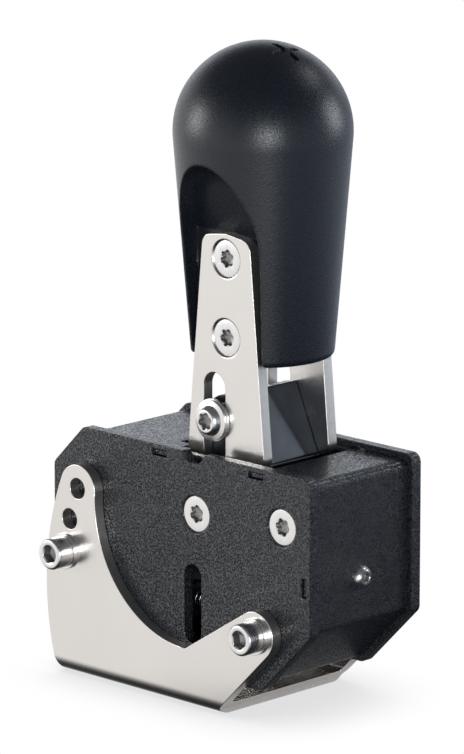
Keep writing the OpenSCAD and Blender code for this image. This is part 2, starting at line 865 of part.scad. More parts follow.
module recess() {
    reach = far - recess_slope_z;
    intersection() {
        across(-far, -lever_in) recess_outline();
        translate([-far, 0, 0]) rotate([90, 0, 90]) linear_extrude(2 * far) polygon([
            [-far, 0], [-lever_in, 0], [-lever_in, recess_slope_z],
            [-lever_in - reach * tan(recess_slope), far], [-far - reach, far]
        ]);
    }
}

module core_box() {
    z0 = knob_screw_z - knob_screw_dz - 4.3;
    translate([-core_hw, -lever_in, z0]) cube([2 * core_hw, 2 * lever_in, knob_screw_dz + 11]);
}

module knob() {
    color(rubber) difference() {
        rotate_extrude($fn = 96) knob_profile();
        both_sides() recess();
        core_box();
    }
}

module knob_core() {
    color(bright) difference() {
        core_box();
        both_sides() for (z = knob_screw_heights())
            tapped_front(0, lever_in, z, knob_tip);
    }
}

module knob_screws() {
    color(bright) both_sides() for (z = knob_screw_heights())
        facing_front(0, lever_out - csk_drop, z) csk_screw(lever_out - csk_drop - knob_tip);
}

// Centring springs

function spring_path(x0, x1, r) =
    let (
        lead = 2 * wire_r,
        n = 8 * curls,
        a = x0 + lead,
        b = x1 - lead
    )
    concat(
        [[x0, r, 0, 0], [a - lead / 2, r, 0, 0]],
        [for (i = [0:n]) [a + (b - a) * i / n, r, 45 * i, 1]],
        [[b + lead / 2, r, 45 * n, 0], [x1, r, 45 * n, 0]]
    );
function place(p) = [p[0], p[1] * cos(p[2]), p[1] * sin(p[2])];
function ring(path, i, sides) =
    let (
        last = len(path) - 1,
        here = place(path[i]),
        ahead = place(path[min(i + 1, last)]),
        behind = place(path[max(i - 1, 0)]),
        outward = [0, cos(path[i][2]), sin(path[i][2])],
        aside = unit(cross(ahead - behind, outward))
    )
    [for (k = [0:sides - 1]) here + wire_r * (outward * cos(360 * k / sides) + aside * sin(360 * k / sides))];
function least_gap(path) =
    min([for (i = [0:len(path) - 1], j = [i + 6:1:len(path) - 1])
        norm(place(path[i]) - place(path[j]))]) - 2 * wire_r;

module spring(x0, x1) {
    sides = 6;
    path = spring_path(x0, x1, spring_r - wire_r);
    n = len(path);
    echo(spring_least_gap = least_gap(path));
    translate([0, 0, spring_z]) polyhedron(
        points = [for (i = [0:n - 1]) each ring(path, i, sides)],
        faces = concat(
            [for (i = [0:n - 2], k = [0:sides - 1])
                let (a = i * sides + k, b = i * sides + (k + 1) % sides)
                each [[a, b, a + sides], [b, b + sides, a + sides]]],
            [for (k = [1:sides - 2]) [0, k + 1, k]],
            [for (k = [1:sides - 2]) [(n - 1) * sides, (n - 1) * sides + k, (n - 1) * sides + k + 1]]
        ),
        convexity = 8
    );
}

module centring_spring_right() {
    color(bright) spring(lever_x + tail_hw, lever_x + cup_face);
}

module centring_spring_left() {
    color(bright) spring(lever_x - cup_face, lever_x - tail_hw);
}

module spring_cups() {
    color(black) both_ends() {
        rod_along(lever_x + cup_face, lever_x + block_face, 0, spring_z, cup_r);
        rod_along(lever_x + cup_face - spigot_len, lever_x + cup_face + 0.1, 0, spring_z, spigot_r);
        rod_along(lever_x + block_face - 0.1, lever_x + block_face + peg_len, 0, spring_z, peg_r);
    }
}

module stop_bumpers() {
    color(rubber) both_ends() {
        rod_along(lever_x + stop_face, lever_x + stop_seat, 0, stop_z, stop_r);
        rod_along(lever_x + stop_seat - 0.1, lever_x + stop_seat + stud_len, 0, stop_z, stud_r);
    }
}

// Electronics

module board_corners() {
    for (sx = [-1, 1], sy = [-1, 1])
        translate([lever_x + sx * board_screw_x, sy * board_screw_y, 0]) children();
}

module board_pads() {
    color(bright) difference() {
        board_corners() translate([0, 0, inner_z0]) cylinder(r = pad_r, h = board_pad_h, $fn = small_fn);
        board_corners() translate([0, 0, inner_z0 + 0.2]) cylinder(r = m2_r + thread_gap, h = far, $fn = 24);
    }
}

module sensor_board() {
    color(green) difference() {
        union() {
            translate([lever_x - board_hx, -board_hy, board_z0]) cube([2 * board_hx, 2 * board_hy, board_t]);
            translate([lever_x - chip_w / 2, -chip_w / 2, board_z0]) cube([chip_w, chip_w, board_t + chip_h]);
        }
        board_corners() cylinder(r = m2_r + 0.2, h = far, $fn = 24);
    }
}

module sensor_board_screws() {
    color(bright) board_corners() translate([0, 0, board_z0 + board_t])
        button_screw(m2_r, m2_head_r, m2_head_h, board_t + 0.8 * board_pad_h);
}

module main_board() {
    color(green) difference() {
        union() {
            translate([main_x, -main_hy, main_z0]) cube([board_t, 2 * main_hy, main_z1 - main_z0]);
            translate([main_x + board_t - 0.1, -processor_w / 2, socket_z - 1.2])
                cube([processor_h, processor_w, processor_w]);
        }
        for (s = [-1, 1]) rod_along(-far, far, s * main_screw_y, main_screw_z, m3_r + 0.15);
    }
}

module main_board_spacers() {
    color(brass) difference() {
        for (s = [-1, 1]) rod_along(inner_x0, main_x, s * main_screw_y, main_screw_z, standoff_r);
        for (s = [-1, 1]) rod_along(-far, far, s * main_screw_y, main_screw_z, m3_r + thread_gap);
    }
}

module main_board_screws() {
    color(bright) for (s = [-1, 1]) {
        translate([shell_x0, s * main_screw_y, main_screw_z]) rotate([0, -90, 0])
            button_screw(m3_r, m3_head_r, m3_head_h, m3_wall_len);
        translate([main_x + board_t, s * main_screw_y, main_screw_z]) rotate([0, 90, 0])
            button_screw(m3_r, m3_head_r, m3_head_h, m3_board_len);
    }
}

module data_socket() {
    color(black) difference() {
        union() {
            translate([shell_x0 - socket_lip, -socket_hw, socket_z - socket_hh])
                cube([main_x - shell_x0 + socket_lip, 2 * socket_hw, 2 * socket_hh]);
            translate([shell_x0 - socket_lip, -socket_hw - 1, socket_z - socket_hh - 1])
                cube([socket_lip, 2 * socket_hw + 2, 2 * socket_hh + 2]);
        }
        translate([shell_x0 - socket_lip - cut, -port_hw, port_z0])
            cube([main_x - shell_x0 - 2 + cut, 2 * port_hw, port_z1 - port_z0]);
    }
}

module socket_contacts() {
    color(brass) for (k = [0:5])
        translate([shell_x0 + contact_x, (k - 2.5) * contact_pitch - contact_w / 2, port_z1 - contact_h])
            cube([contact_len, contact_w, contact_h]);
}

bracket();
bracket_washers();
tilt_pivot_screws();
tilt_index_screws();
side_plate_front();
side_plate_rear();
housing_shell();
bottom_cover();
plate_screws();
spacer_post();
index_bar();
end_block_right();
end_block_left();
cover_screw();
cover_spacer();
pivot_axle();
pivot_spacers();
pivot_bushes();
lever_arm();
lever_plate_front();
lever_plate_rear();
clamp_screws();
clamp_washers();
slot_bushes();
knob();
knob_core();
knob_screws();
centring_spring_right();
centring_spring_left();
spring_cups();
stop_bumpers();
sensor_magnet();
sensor_board();
sensor_board_screws();
board_pads();
main_board();
main_board_spacers();
main_board_screws();
data_socket();
socket_contacts();
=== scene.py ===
"""Sequential gear shifter: finishes, screws, springs, knob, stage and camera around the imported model."""

import json
import math

import bmesh
import bpy
import numpy as np
from mathutils import Matrix, Vector


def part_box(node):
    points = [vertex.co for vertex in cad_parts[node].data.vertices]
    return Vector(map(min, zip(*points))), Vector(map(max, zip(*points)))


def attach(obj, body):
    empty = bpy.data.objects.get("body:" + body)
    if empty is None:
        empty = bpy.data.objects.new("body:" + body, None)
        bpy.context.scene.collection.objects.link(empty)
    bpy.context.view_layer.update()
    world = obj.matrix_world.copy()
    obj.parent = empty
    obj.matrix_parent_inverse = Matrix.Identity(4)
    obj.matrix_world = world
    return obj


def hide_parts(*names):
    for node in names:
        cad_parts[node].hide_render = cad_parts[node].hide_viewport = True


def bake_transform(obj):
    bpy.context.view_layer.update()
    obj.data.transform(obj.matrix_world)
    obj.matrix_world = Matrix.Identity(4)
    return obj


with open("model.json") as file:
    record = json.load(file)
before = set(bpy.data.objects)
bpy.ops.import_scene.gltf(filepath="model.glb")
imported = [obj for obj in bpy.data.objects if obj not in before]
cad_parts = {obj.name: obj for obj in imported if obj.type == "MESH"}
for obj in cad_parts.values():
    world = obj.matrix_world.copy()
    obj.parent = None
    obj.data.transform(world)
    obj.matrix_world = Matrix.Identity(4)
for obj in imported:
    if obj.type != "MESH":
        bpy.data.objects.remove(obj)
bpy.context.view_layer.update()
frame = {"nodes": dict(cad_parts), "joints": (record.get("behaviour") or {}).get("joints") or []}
NODES = frame["nodes"]

bl_info = {
    "name": "Sequential gear shifter",
    "version": (1, 0, 0),
    "blender": (4, 5, 0),
    "location": "View3D > Sidebar > Shifter",
    "description": "Dresses the packed gear shifter with finishes, screws, springs and a studio",
    "category": "Object",
}

MM = 0.001


def edge(node, side):
    """One limit of a node's box at rest, in millimetres. The side is -x, +x, -y and so on."""
    low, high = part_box(node)
    corner = high if side[0] == "+" else low
    return round(getattr(corner, side[1]) / MM, 3)


def middle(node, axis):
    """The middle of a node's box along an axis, in millimetres."""
    return (edge(node, "-" + axis) + edge(node, "+" + axis)) / 2


def side_place(node):
    """Where a node's middle lies in the side view, as X and Z."""
    return middle(node, "x"), middle(node, "z")


# What the pieces share, in millimetres: the lever's pivot, the faces of plates and washers, the walls
SHIFT = next(joint for joint in frame["joints"] if joint["name"] == "lever_shift")
LEVER_X, _, PIVOT_Z = (round(c / MM, 3) for c in SHIFT["pos_m"])
PLATE_Y = edge("side_plate_rear", "+y")
LEVER_PLATE_Y = edge("lever_plate_rear", "+y")
LEVER_PLATE_IN = edge("lever_plate_rear", "-y")
WASHER_Y = edge("bracket_washers", "+y")
CLAMP_Y = edge("clamp_washers", "+y")
WALL_RIGHT = edge("housing_shell", "+x")
WALL_LEFT = edge("housing_shell", "-x")

# Where the screws sit in the side views, as X and Z
TILT_PIVOT_PLACES = [side_place("tilt_pivot_screws")]
TILT_INDEX_PLACES = [side_place("tilt_index_screws")]
PLATE_PLACES = [(LEVER_X, PIVOT_Z), (32.2, 64.2), (-34.5, 23.0)]
KNOB_PLACES = [(0.0, 142.3), (0.0, 117.3)]
CLAMP_PLACES = [(LEVER_X, middle("clamp_screws", "z"))]

# The large screws: shank radius, how far a sunk head lies below its sheet, where its shank starts, and
# how deep the six lobes of a driver recess are
SHANK_R = 3.0
HEAD_DROP = 0.55
SUNK_DEPTH = 2.8
LOBE = 0.38

# Springs: wire radius, and how far the coils stay inside the node's box
WIRE_R = 0.55
COIL_GAP = 0.05

# Knob form, in millimetres
KNOB_R = 28.0
KNOB_MID = edge("knob", "+z") - KNOB_R
KNOB_FOOT = edge("knob", "-z")
KNOB_TAPER = math.radians(4.66)
RECESS_START = KNOB_FOOT - 1.0
RECESS_FOOT = 14.9
RECESS_HALF = 16.5
RECESS_SPRING = 146.0
RECESS_RISE = 27.0
RECESS_TURN = 149.8
RECESS_LEAN = math.radians(24.0)

# Blend of a recess's wall into its floor: width at the flat, and what the slope adds over its first rise
BLEND_FLAT = 0.5
BLEND_SLOPE = 6.5
BLEND_RISE = 9.0

# The photograph's view, in metres, and the direction of the front softbox
CAMERA_PLACE = (1.16488, -1.19955, 0.49429)
CAMERA_TARGET = (-0.01346, 0.0, 0.1)
CAMERA_LENS = 262.9
FRONT_AIM = (0.765, -0.643, 0.04)


# Node trees

class Value:
    """A node's output. Arithmetic on it adds Math nodes, so that a formula reads as it is written."""

    def __init__(self, graph, socket):
        self.graph = graph
        self.socket = socket

    def _math(self, operation, *values):
        return self.graph.node("ShaderNodeMath", {"operation": operation}, dict(enumerate(values)))

    def __add__(self, other):
        return self._math("ADD", self, other)

    def __sub__(self, other):
        return self._math("SUBTRACT", self, other)

    def __rsub__(self, other):
        return self._math("SUBTRACT", other, self)

    def __mul__(self, other):
        return self._math("MULTIPLY", self, other)

    def __truediv__(self, other):
        return self._math("DIVIDE", self, other)

    __radd__ = __add__
    __rmul__ = __mul__

    def sine(self):
        return self._math("SINE", self)

    def cosine(self):
        return self._math("COSINE", self)

    def largest(self, other):
        return self._math("MAXIMUM", self, other)

    def swing(self, amount):
        """A noise as a change of up to half the amount to either side."""
        return (self - 0.5) * amount

    def between(self, low, high, start=0.0, end=1.0):
        """Start below low, end above high, and a smooth step between."""
        return self.graph.node(
            "ShaderNodeMapRange",
            {"interpolation_type": "SMOOTHSTEP"},
            {"Value": self, "From Min": low, "From Max": high, "To Min": start, "To Max": end},
        )


class Graph:
    """Adds nodes to a tree: their settings first, then the values or links of their sockets."""

    def __init__(self, tree):
        self.tree = tree

    def node(self, kind, settings=None, inputs=None, output=0):
        """Adds a node and gives one of its outputs. A list holds several links for one socket."""
        made = self.tree.nodes.new(kind)
        for key, value in (settings or {}).items():
            setattr(made, key, value)
        for key, value in (inputs or {}).items():
            for item in value if isinstance(value, list) else [value]:
                if isinstance(item, Value):
                    self.tree.links.new(item.socket, made.inputs[key])
                else:
                    made.inputs[key].default_value = item
        return Value(self, made.outputs[output]) if len(made.outputs) else made

    def place(self, stretch=(1, 1, 1)):
        """Object coordinates in millimetres, stretched along an axis for drawn or brushed finishes."""
        point = self.node("ShaderNodeTexCoord", output="Object")
        scale = tuple(1 / (MM * share) for share in stretch)
        return self.node("ShaderNodeMapping", None, {"Vector": point, "Scale": scale})

    def noise(self, period, detail=2.0, rough=0.5, stretch=(1, 1, 1)):
        inputs = {"Vector": self.place(stretch), "Scale": 1 / period, "Detail": detail, "Roughness": rough}
        return self.node("ShaderNodeTexNoise", None, inputs)

    def cells(self, period):
        inputs = {"Vector": self.place(), "Scale": 1 / period, "Smoothness": 0.6}
        return self.node("ShaderNodeTexVoronoi", {"feature": "SMOOTH_F1"}, inputs)

    def blend(self, amount, first, second):
        """A colour between two, by a mask."""
        rgba = [v if isinstance(v, Value) else (*v[:3], 1.0) for v in (first, second)]
        return self.node(
            "ShaderNodeMix", {"data_type": "RGBA"}, {0: amount, 6: rgba[0], 7: rgba[1]}, output=2
        )

    def bump(self, height, depth, strength=1.0):
        """Relief of a depth in millimetres."""
        inputs = {"Height": height, "Distance": depth * MM, "Strength": strength}
        return self.node("ShaderNodeBump", None, inputs)

    def surface(self, colour, roughness, metallic, normal, **others):
        """The finish's shader. Others are more of its sockets, such as Coat_Roughness."""
        inputs = {"Base Color": colour, "Roughness": roughness, "Metallic": metallic, "Normal": normal}
        inputs.update({key.replace("_", " "): value for key, value in others.items()})
        shader = self.node("ShaderNodeBsdfPrincipled", None, inputs)
        self.node("ShaderNodeOutputMaterial", None, {"Surface": shader})

    def result(self, geometry, finish_input):
        """Ends a Geometry Nodes tree in a plain mesh with its finish."""
        real = self.node("GeometryNodeRealizeInstances", None, {"Geometry": geometry})
        inputs = {"Geometry": real, "Material": finish_input}
        self.node("NodeGroupOutput", None, {0: self.node("GeometryNodeSetMaterial", None, inputs)})


def new_tree(name, result, inputs):
    """A Geometry Nodes tree: the tree, its graph, and its named inputs, listed as (name, kind, default)."""
    tree = bpy.data.node_groups.new(name, "GeometryNodeTree")
    for label, kind, default in inputs:
        made = tree.interface.new_socket(label, in_out="INPUT", socket_type="NodeSocket" + kind)
        if default is not None:
            made.default_value = default
    tree.interface.new_socket(result, in_out="OUTPUT", socket_type="NodeSocketGeometry")
    g = Graph(tree)
    source = g.node("NodeGroupInput").socket.node
    return tree, g, {socket.name: Value(g, socket) for socket in source.outputs if socket.name}


def new_finish(name):
    """An empty material and the graph of its nodes."""
    made = bpy.data.materials.new(name)
    made.use_nodes = True
    made.node_tree.nodes.clear()
    return made, Graph(made.node_tree)


def scaled(colour, factor):
    """A darker or lighter colour."""
    return [min(1.0, c * factor) for c in colour[:3]]


# Finishes. Periods of noise and depths of relief are in millimetres.

def satin_steel(name, colour, roughness):
    """Satin stainless sheet: a fine tumbled grain, hardly clouded, with a few handling marks."""
    made, g = new_finish(name)
    grain = g.noise(0.35, detail=3.0, rough=0.65)
    cloud = g.noise(17.0)
    smear = g.noise(4.0, detail=3.0, rough=0.6, stretch=(2.4, 1, 1))
    dust = g.noise(0.6).between(0.70, 0.80)
    tone = g.blend(cloud.between(0.3, 0.7), scaled(colour, 0.985), scaled(colour, 1.012))
    tone = g.blend(grain.between(0.3, 0.7) * 0.5, tone, scaled(colour, 0.93))
    tone = g.blend(dust * 0.15, tone, scaled(colour, 0.72))
    rough = roughness + grain.swing(0.12) + smear.swing(0.05)
    g.surface(tone, rough, 1.0, g.bump(grain, depth=0.007, strength=0.5))
    return made


def cut_steel(name, colour):
    """The laser-cut edge of a steel sheet: an even sandy grain with faint lines across its thickness."""
    made, g = new_finish(name)
    grain = g.noise(0.4, detail=3.0, rough=0.65)
    lines = g.noise(0.35, stretch=(1, 8, 1))
    relief = grain * 0.8 + lines * 0.3
    tone = g.blend(relief.between(0.35, 0.75), scaled(colour, 0.80), colour)
    g.surface(tone, 0.40 + grain.swing(0.15), 1.0, g.bump(relief, depth=0.03, strength=0.6))
    return made


def bright_steel(name, colour, roughness):
    """Turned and cold formed hardware: tight tool marks, small dull spots, and driver recesses painted dark
    as shade.
    """
    made, g = new_finish(name)
    marks = g.noise(0.14, detail=3.0, rough=0.6)
    spots = g.noise(1.3, detail=3.0, rough=0.6).between(0.60, 0.76)
    painted_recess_shade = g.node("ShaderNodeAttribute", {"attribute_name": "recess"}, output="Fac")
    tone = g.blend(spots * 0.7, colour, scaled(colour, 0.85))
    # Points in a driver recess are painted darker as shade
    tone = g.blend(painted_recess_shade, tone, scaled(colour, 0.45))
    rough = roughness + spots * 0.08 + marks.swing(0.06) + painted_recess_shade * 0.12
    g.surface(tone, rough, 1.0, g.bump(marks, depth=0.003, strength=0.6))
    return made


def wrinkle_coat(name, colour, roughness=0.27, wear_and_edge_sheen=0.0):
    """Black powder coat whose fine wrinkle glints on its crests, partly from a glossier coat there and
    partly painted: crests lighter as highlights, hollows darker as shade. Wear thins it to a lighter tone,
    which on the rounded edges also serves as a painted edge highlight.
    """
    made, g = new_finish(name)
    lumps = g.cells(0.6)
    ripple = g.noise(0.52, detail=3.0, rough=0.6)
    cloud = g.noise(22.0)
    relief = lumps * 0.5 + ripple
    # The tone follows the relief: painted lighter on the crests as highlights and darker in the hollows as
    # shade
    tone = g.blend(relief.between(0.64, 0.86), scaled(colour, 0.3), scaled(colour, 2.4))
    rough = roughness + cloud.swing(0.06) + ripple.swing(0.3)
    if wear_and_edge_sheen:
        # Lighter patches of worn coat; on the rounded edges they also serve as a painted edge highlight
        thin = g.noise(1.6, detail=3.0, rough=0.6).between(0.46, 0.66) * wear_and_edge_sheen
        tone = g.blend(thin, tone, scaled(colour, 9.0))
        rough = rough - thin * 0.1
    g.surface(
        tone, rough, 0.0, g.bump(relief, depth=0.7), Specular_IOR_Level=0.44,
        Coat_Weight=relief.between(0.66, 0.88), Coat_Roughness=0.23, Coat_IOR=1.6,
    )
    return made


def soft_touch(name, colour):
    """Soft-touch coat over moulded plastic: a dusty micro grain and faint hand polish."""
    made, g = new_finish(name)
    grain = g.noise(0.5, rough=0.6)
    polish = g.noise(16.0, detail=3.0)
    tone = g.blend(grain.between(0.3, 0.7), scaled(colour, 0.7), scaled(colour, 1.35))
    g.surface(tone, 0.315 + polish.swing(0.06) + grain.swing(0.5), 0.0, g.bump(grain, depth=0.07))
    return made


def anodised(name, colour):
    """Glossy black anodised aluminium with fine milling lines."""
    made, g = new_finish(name)
    lines = g.noise(0.3, detail=3.0, rough=0.6, stretch=(1, 16, 1))
    cloud = g.noise(9.0)
    tone = g.blend(cloud.between(0.3, 0.7), scaled(colour, 0.85), scaled(colour, 1.15))
    g.surface(tone, 0.20 + lines.swing(0.1), 0.55, g.bump(lines, depth=0.008, strength=0.6))
    return made


def plain_metal(name, colour, roughness, period=0.25):
    """Machined metal that stays inside: turning lines and a slightly uneven tone."""
    made, g = new_finish(name)
    lines = g.noise(period, detail=3.0, rough=0.6, stretch=(1, 8, 1))
    tone = g.blend(lines.between(0.25, 0.75), scaled(colour, 0.88), scaled(colour, 1.06))
    g.surface(tone, roughness + lines.swing(0.12), 1.0, g.bump(lines, depth=0.01, strength=0.5))
    return made


def moulded(name, colour, roughness, period=0.45):
    """Moulded plastic or rubber with a light spark-eroded grain."""
    made, g = new_finish(name)
    grain = g.noise(period, rough=0.55)
    tone = g.blend(grain.between(0.3, 0.7), scaled(colour, 0.85), scaled(colour, 1.2))
    g.surface(tone, roughness + grain.swing(0.14), 0.0, g.bump(grain, depth=0.015, strength=0.6))
    return made


def solder_mask(name, colour):
    """A circuit board's green lacquer over its copper, which shows as paler lanes."""
    made, g = new_finish(name)
    lanes = g.node(
        "ShaderNodeTexBrick",
        {"offset": 0.37, "squash": 1.4, "squash_frequency": 3},
        {"Vector": g.place(), "Scale": 0.24, "Mortar Size": 0.03, "Mortar Smooth": 0.1},
        output=1,
    )
    grain = g.noise(0.6)
    tone = g.blend(lanes * 0.5, colour, scaled(colour, 1.9))
    g.surface(tone, 0.32 + grain.swing(0.1), 0.0, g.bump(lanes, depth=0.02, strength=0.4))
    return made


# Meshes

def add_object(name, mesh):
    made = bpy.data.objects.new(name, mesh)
    bpy.context.scene.collection.objects.link(made)
    return made


def settle(obj):
    """Applies an object's modifiers into a plain mesh."""
    bpy.context.view_layer.update()
    graph = bpy.context.evaluated_depsgraph_get()
    evaluated = obj.evaluated_get(graph)
    mesh = bpy.data.meshes.new_from_object(evaluated, preserve_all_data_layers=True, depsgraph=graph)
    obj.modifiers.clear()
    obj.data = mesh
    mesh.name = obj.name
    return obj


def give(obj, *finishes):
    """Replaces an object's finishes."""
    obj.data.materials.clear()
    for made in finishes:
        obj.data.materials.append(made)


def smooth(obj, angle=30):
    """Shades an object smoothly, with sharp edges from an angle in degrees."""
    for face in obj.data.polygons:
        face.use_smooth = True
    obj.data.set_sharp_from_angle(angle=math.radians(angle))


def rounded_copy(node, rounding, segments):
    """A copy of a CAD node with its flat faces joined and its edges broken by a small rounding."""
    same_point, flat, sharp = 0.002 * MM, math.radians(0.4), math.radians(32)
    mesh = NODES[node].data.copy()
    obj = add_object(node + "_piece", mesh)
    work = bmesh.new()
    work.from_mesh(mesh)
    bmesh.ops.remove_doubles(work, verts=work.verts, dist=same_point)
    bmesh.ops.dissolve_limit(work, angle_limit=flat, verts=work.verts, edges=work.edges)
    work.to_mesh(mesh)
    work.free()
    if mesh.has_custom_normals:
        bpy.context.view_layer.objects.active = obj
        obj.select_set(True)
        bpy.ops.mesh.customdata_custom_splitnormals_clear()
        obj.select_set(False)
    for face in mesh.polygons:
        face.use_smooth = True
        face.material_index = 0
    mesh.materials.clear()
    mesh.materials.append(None)
    mesh.materials.append(None)
    bevel = obj.modifiers.new("Edges", "BEVEL")
    bevel.width = rounding
    bevel.segments = segments
    bevel.limit_method = "ANGLE"
    bevel.angle_limit = sharp
    bevel.material = 1
    bevel.use_clamp_overlap = False
    bevel.loop_slide = False
    weighted = obj.modifiers.new("Shading", "WEIGHTED_NORMAL")
    weighted.keep_sharp = True
    weighted.weight = 80
    return settle(obj)


def turned(name, rings, steps=72):
    """A turned part: rings of (radius, height, shape, size), where a shape is a driver recess."""
    points, faces, painted_recess_shade = [], [], []
    for radius, height, shape, size in rings:
        # Points from the first driver-recess ring on are marked for the shade painted into the recess
        painted_recess_shade += [1.0 if shape or (painted_recess_shade and painted_recess_shade[-1]) else 0.0] * steps
        for k in range(steps):
            a = math.tau * k / steps
            r = radius
            if shape == "lobes":
                r = radius + size * math.cos(6 * a)
            elif shape == "hex":
                r = radius / math.cos((a + math.pi / 6) % (math.pi / 3) - math.pi / 6)
            points.append((r * math.cos(a) * MM, r * math.sin(a) * MM, height * MM))
    for i in range(len(rings) - 1):
        for k in range(steps):
            m = (k + 1) % steps
            faces.append((i * steps + k, i * steps + m, (i + 1) * steps + m, (i + 1) * steps + k))
    faces.append(tuple(reversed(range(steps))))
    faces.append(tuple(range((len(rings) - 1) * steps, len(rings) * steps)))
    mesh = bpy.data.meshes.new(name)
    mesh.from_pydata(points, [], faces)
    mesh.attributes.new("recess", "FLOAT", "POINT").data.foreach_set("value", painted_recess_shade)
    return mesh


def plain(*pairs):
    """Round rings, given as (radius, height)."""
    return [(r, z, "", 0.0) for r, z in pairs]


def countersunk_head():
    """A countersunk head with a six-lobed recess. Its flat top is at height 0."""
    return turned("countersunk", [
        *plain((SHANK_R, -2.9), (SHANK_R, -2.75), (5.52, -0.24), (5.6, -0.12), (5.55, -0.03)),
        *plain((5.42, 0.0), (2.95, 0.0)),
        (2.62, -0.02, "lobes", LOBE), (2.45, -0.2, "lobes", LOBE), (2.36, -1.7, "lobes", LOBE),
        (1.3, -2.1, "lobes", 0.1), (0.2, -2.25, "", 0.0),
    ])


def cap_head():
    """A cylinder head with a hexagon socket, standing on height 0."""
    return turned("cap", [
        *plain((3.2, 0.0), (4.7, 0.0), (4.95, 0.12), (5.0, 0.35), (5.0, 5.25), (4.93, 5.55)),
        *plain((4.7, 5.8), (4.45, 5.93), (4.25, 6.0), (3.25, 6.0), (2.98, 5.88)),
        (2.5, 5.6, "hex", 0.0), (2.5, 2.9, "hex", 0.0),
        (1.6, 2.4, "", 0.0), (0.2, 2.0, "", 0.0),
    ])


def flange_head():
    """A domed head on a wide flat flange, with a six-lobed recess in its small flat top."""
    return turned("flange", [
        *plain((3.2, 0.0), (6.3, 0.0), (6.46, 0.08), (6.5, 0.3), (6.5, 0.82), (6.46, 0.95), (6.36, 1.0)),
        *plain((4.95, 1.02), (4.78, 1.1), (4.68, 1.45), (4.48, 2.1), (4.18, 2.65), (3.82, 3.05)),
        *plain((3.52, 3.24), (3.3, 3.3), (2.95, 3.3)),
        (2.62, 3.28, "lobes", LOBE), (2.4, 3.15, "lobes", 0.40), (2.35, 1.4, "lobes", LOBE),
        (1.2, 1.1, "lobes", 0.1), (0.2, 1.0, "", 0.0),
    ])


def button_head(radius, height, socket):
    """A low domed head with a hexagon socket."""
    top = math.radians(52)
    dome = [(radius * math.cos(a), height * math.sin(a) / math.sin(top)) for a in np.linspace(0, top, 9)]
    return turned("button", [
        *plain((radius * 0.6, 0.0), *dome),
        (socket * 1.2, height, "", 0.0), (socket, height * 0.92, "hex", 0.0),
        (socket, height * 0.35, "hex", 0.0), (socket * 0.3, height * 0.2, "", 0.0),
    ])


# Screws

def screw_tree():
    """Puts a head on each point, along the point's own axis, with a shank under it and a random turn."""
    tree, g, given = new_tree("Screws", "Screws", (
        ("Places", "Geometry", None),
        ("Head", "Object", None),
        ("Shank Radius", "Float", SHANK_R * MM),
        ("Shank Length", "Float", 13 * MM),
        ("Head Depth", "Float", 0.0),
        ("Turn", "Float", math.tau),
        ("Seed", "Int", 4),
        ("Finish", "Material", None),
    ))
    sizes = {"Vertices": 40, "Radius": given["Shank Radius"], "Depth": given["Shank Length"]}
    shank = g.node("GeometryNodeMeshCylinder", None, sizes)
    below = given["Shank Length"] * -0.5 - given["Head Depth"]
    lowered = g.node("ShaderNodeCombineXYZ", None, {"Z": below})
    shank = g.node("GeometryNodeTransform", None, {"Geometry": shank, "Translation": lowered})
    head = g.node("GeometryNodeObjectInfo", None, {"Object": given["Head"]}, output="Geometry")
    screw = g.node("GeometryNodeJoinGeometry", None, {0: [shank, head]})
    axis = g.node("GeometryNodeInputNamedAttribute", {"data_type": "FLOAT_VECTOR"}, {"Name": "axis"})
    aimed = g.node("FunctionNodeAlignRotationToVector", {"axis": "Z"}, {"Vector": axis})
    turns = {2: 0.0, 3: given["Turn"], "Seed": given["Seed"]}
    spin = g.node("FunctionNodeRandomValue", {"data_type": "FLOAT"}, turns, output=1)
    turn = g.node("ShaderNodeCombineXYZ", None, {"Z": spin})
    both = {"Rotation": aimed, "Rotate By": turn}
    aimed = g.node("FunctionNodeRotateRotation", {"rotation_space": "LOCAL"}, both)
    spread = {"Points": given["Places"], "Instance": screw, "Rotation": aimed}
    g.result(g.node("GeometryNodeInstanceOnPoints", None, spread), given["Finish"])
    return tree


def set_inputs(modifier, tree, values):
    """Sets a Geometry Nodes modifier's inputs by their sockets' identifiers."""
    for item in tree.interface.items_tree:
        if item.item_type == "SOCKET" and item.in_out == "INPUT" and item.name in values:
            modifier[item.identifier] = values[item.name]


def place_screws(tree, node, body, head_mesh, places, metal, radius, length, depth, seed):
    """Screws at (point, axis) places that stand for one CAD node."""
    head = add_object("head_form", head_mesh)
    smooth(head)
    mesh = bpy.data.meshes.new(node + "_piece")
    mesh.from_pydata([Vector(point) * MM for point, axis in places], [], [])
    obj = add_object(node + "_piece", mesh)
    axes = mesh.attributes.new("axis", "FLOAT_VECTOR", "POINT")
    axes.data.foreach_set("vector", [c for point, axis in places for c in axis])
    modifier = obj.modifiers.new("Screws", "NODES")
    modifier.node_group = tree
    set_inputs(modifier, tree, {
        "Head": head, "Shank Radius": radius * MM, "Shank Length": length * MM,
        "Head Depth": depth * MM, "Seed": seed, "Finish": metal,
    })
    settle(obj)
    smooth(obj)
    bpy.data.objects.remove(head)
    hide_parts(node)
    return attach(obj, body)


def both_sides(places, y):
    """The same screws on the front and the rear, each looking outwards."""
    return [((x, side * y, z), (0, side, 0)) for side in (-1, 1) for x, z in places]


# Springs

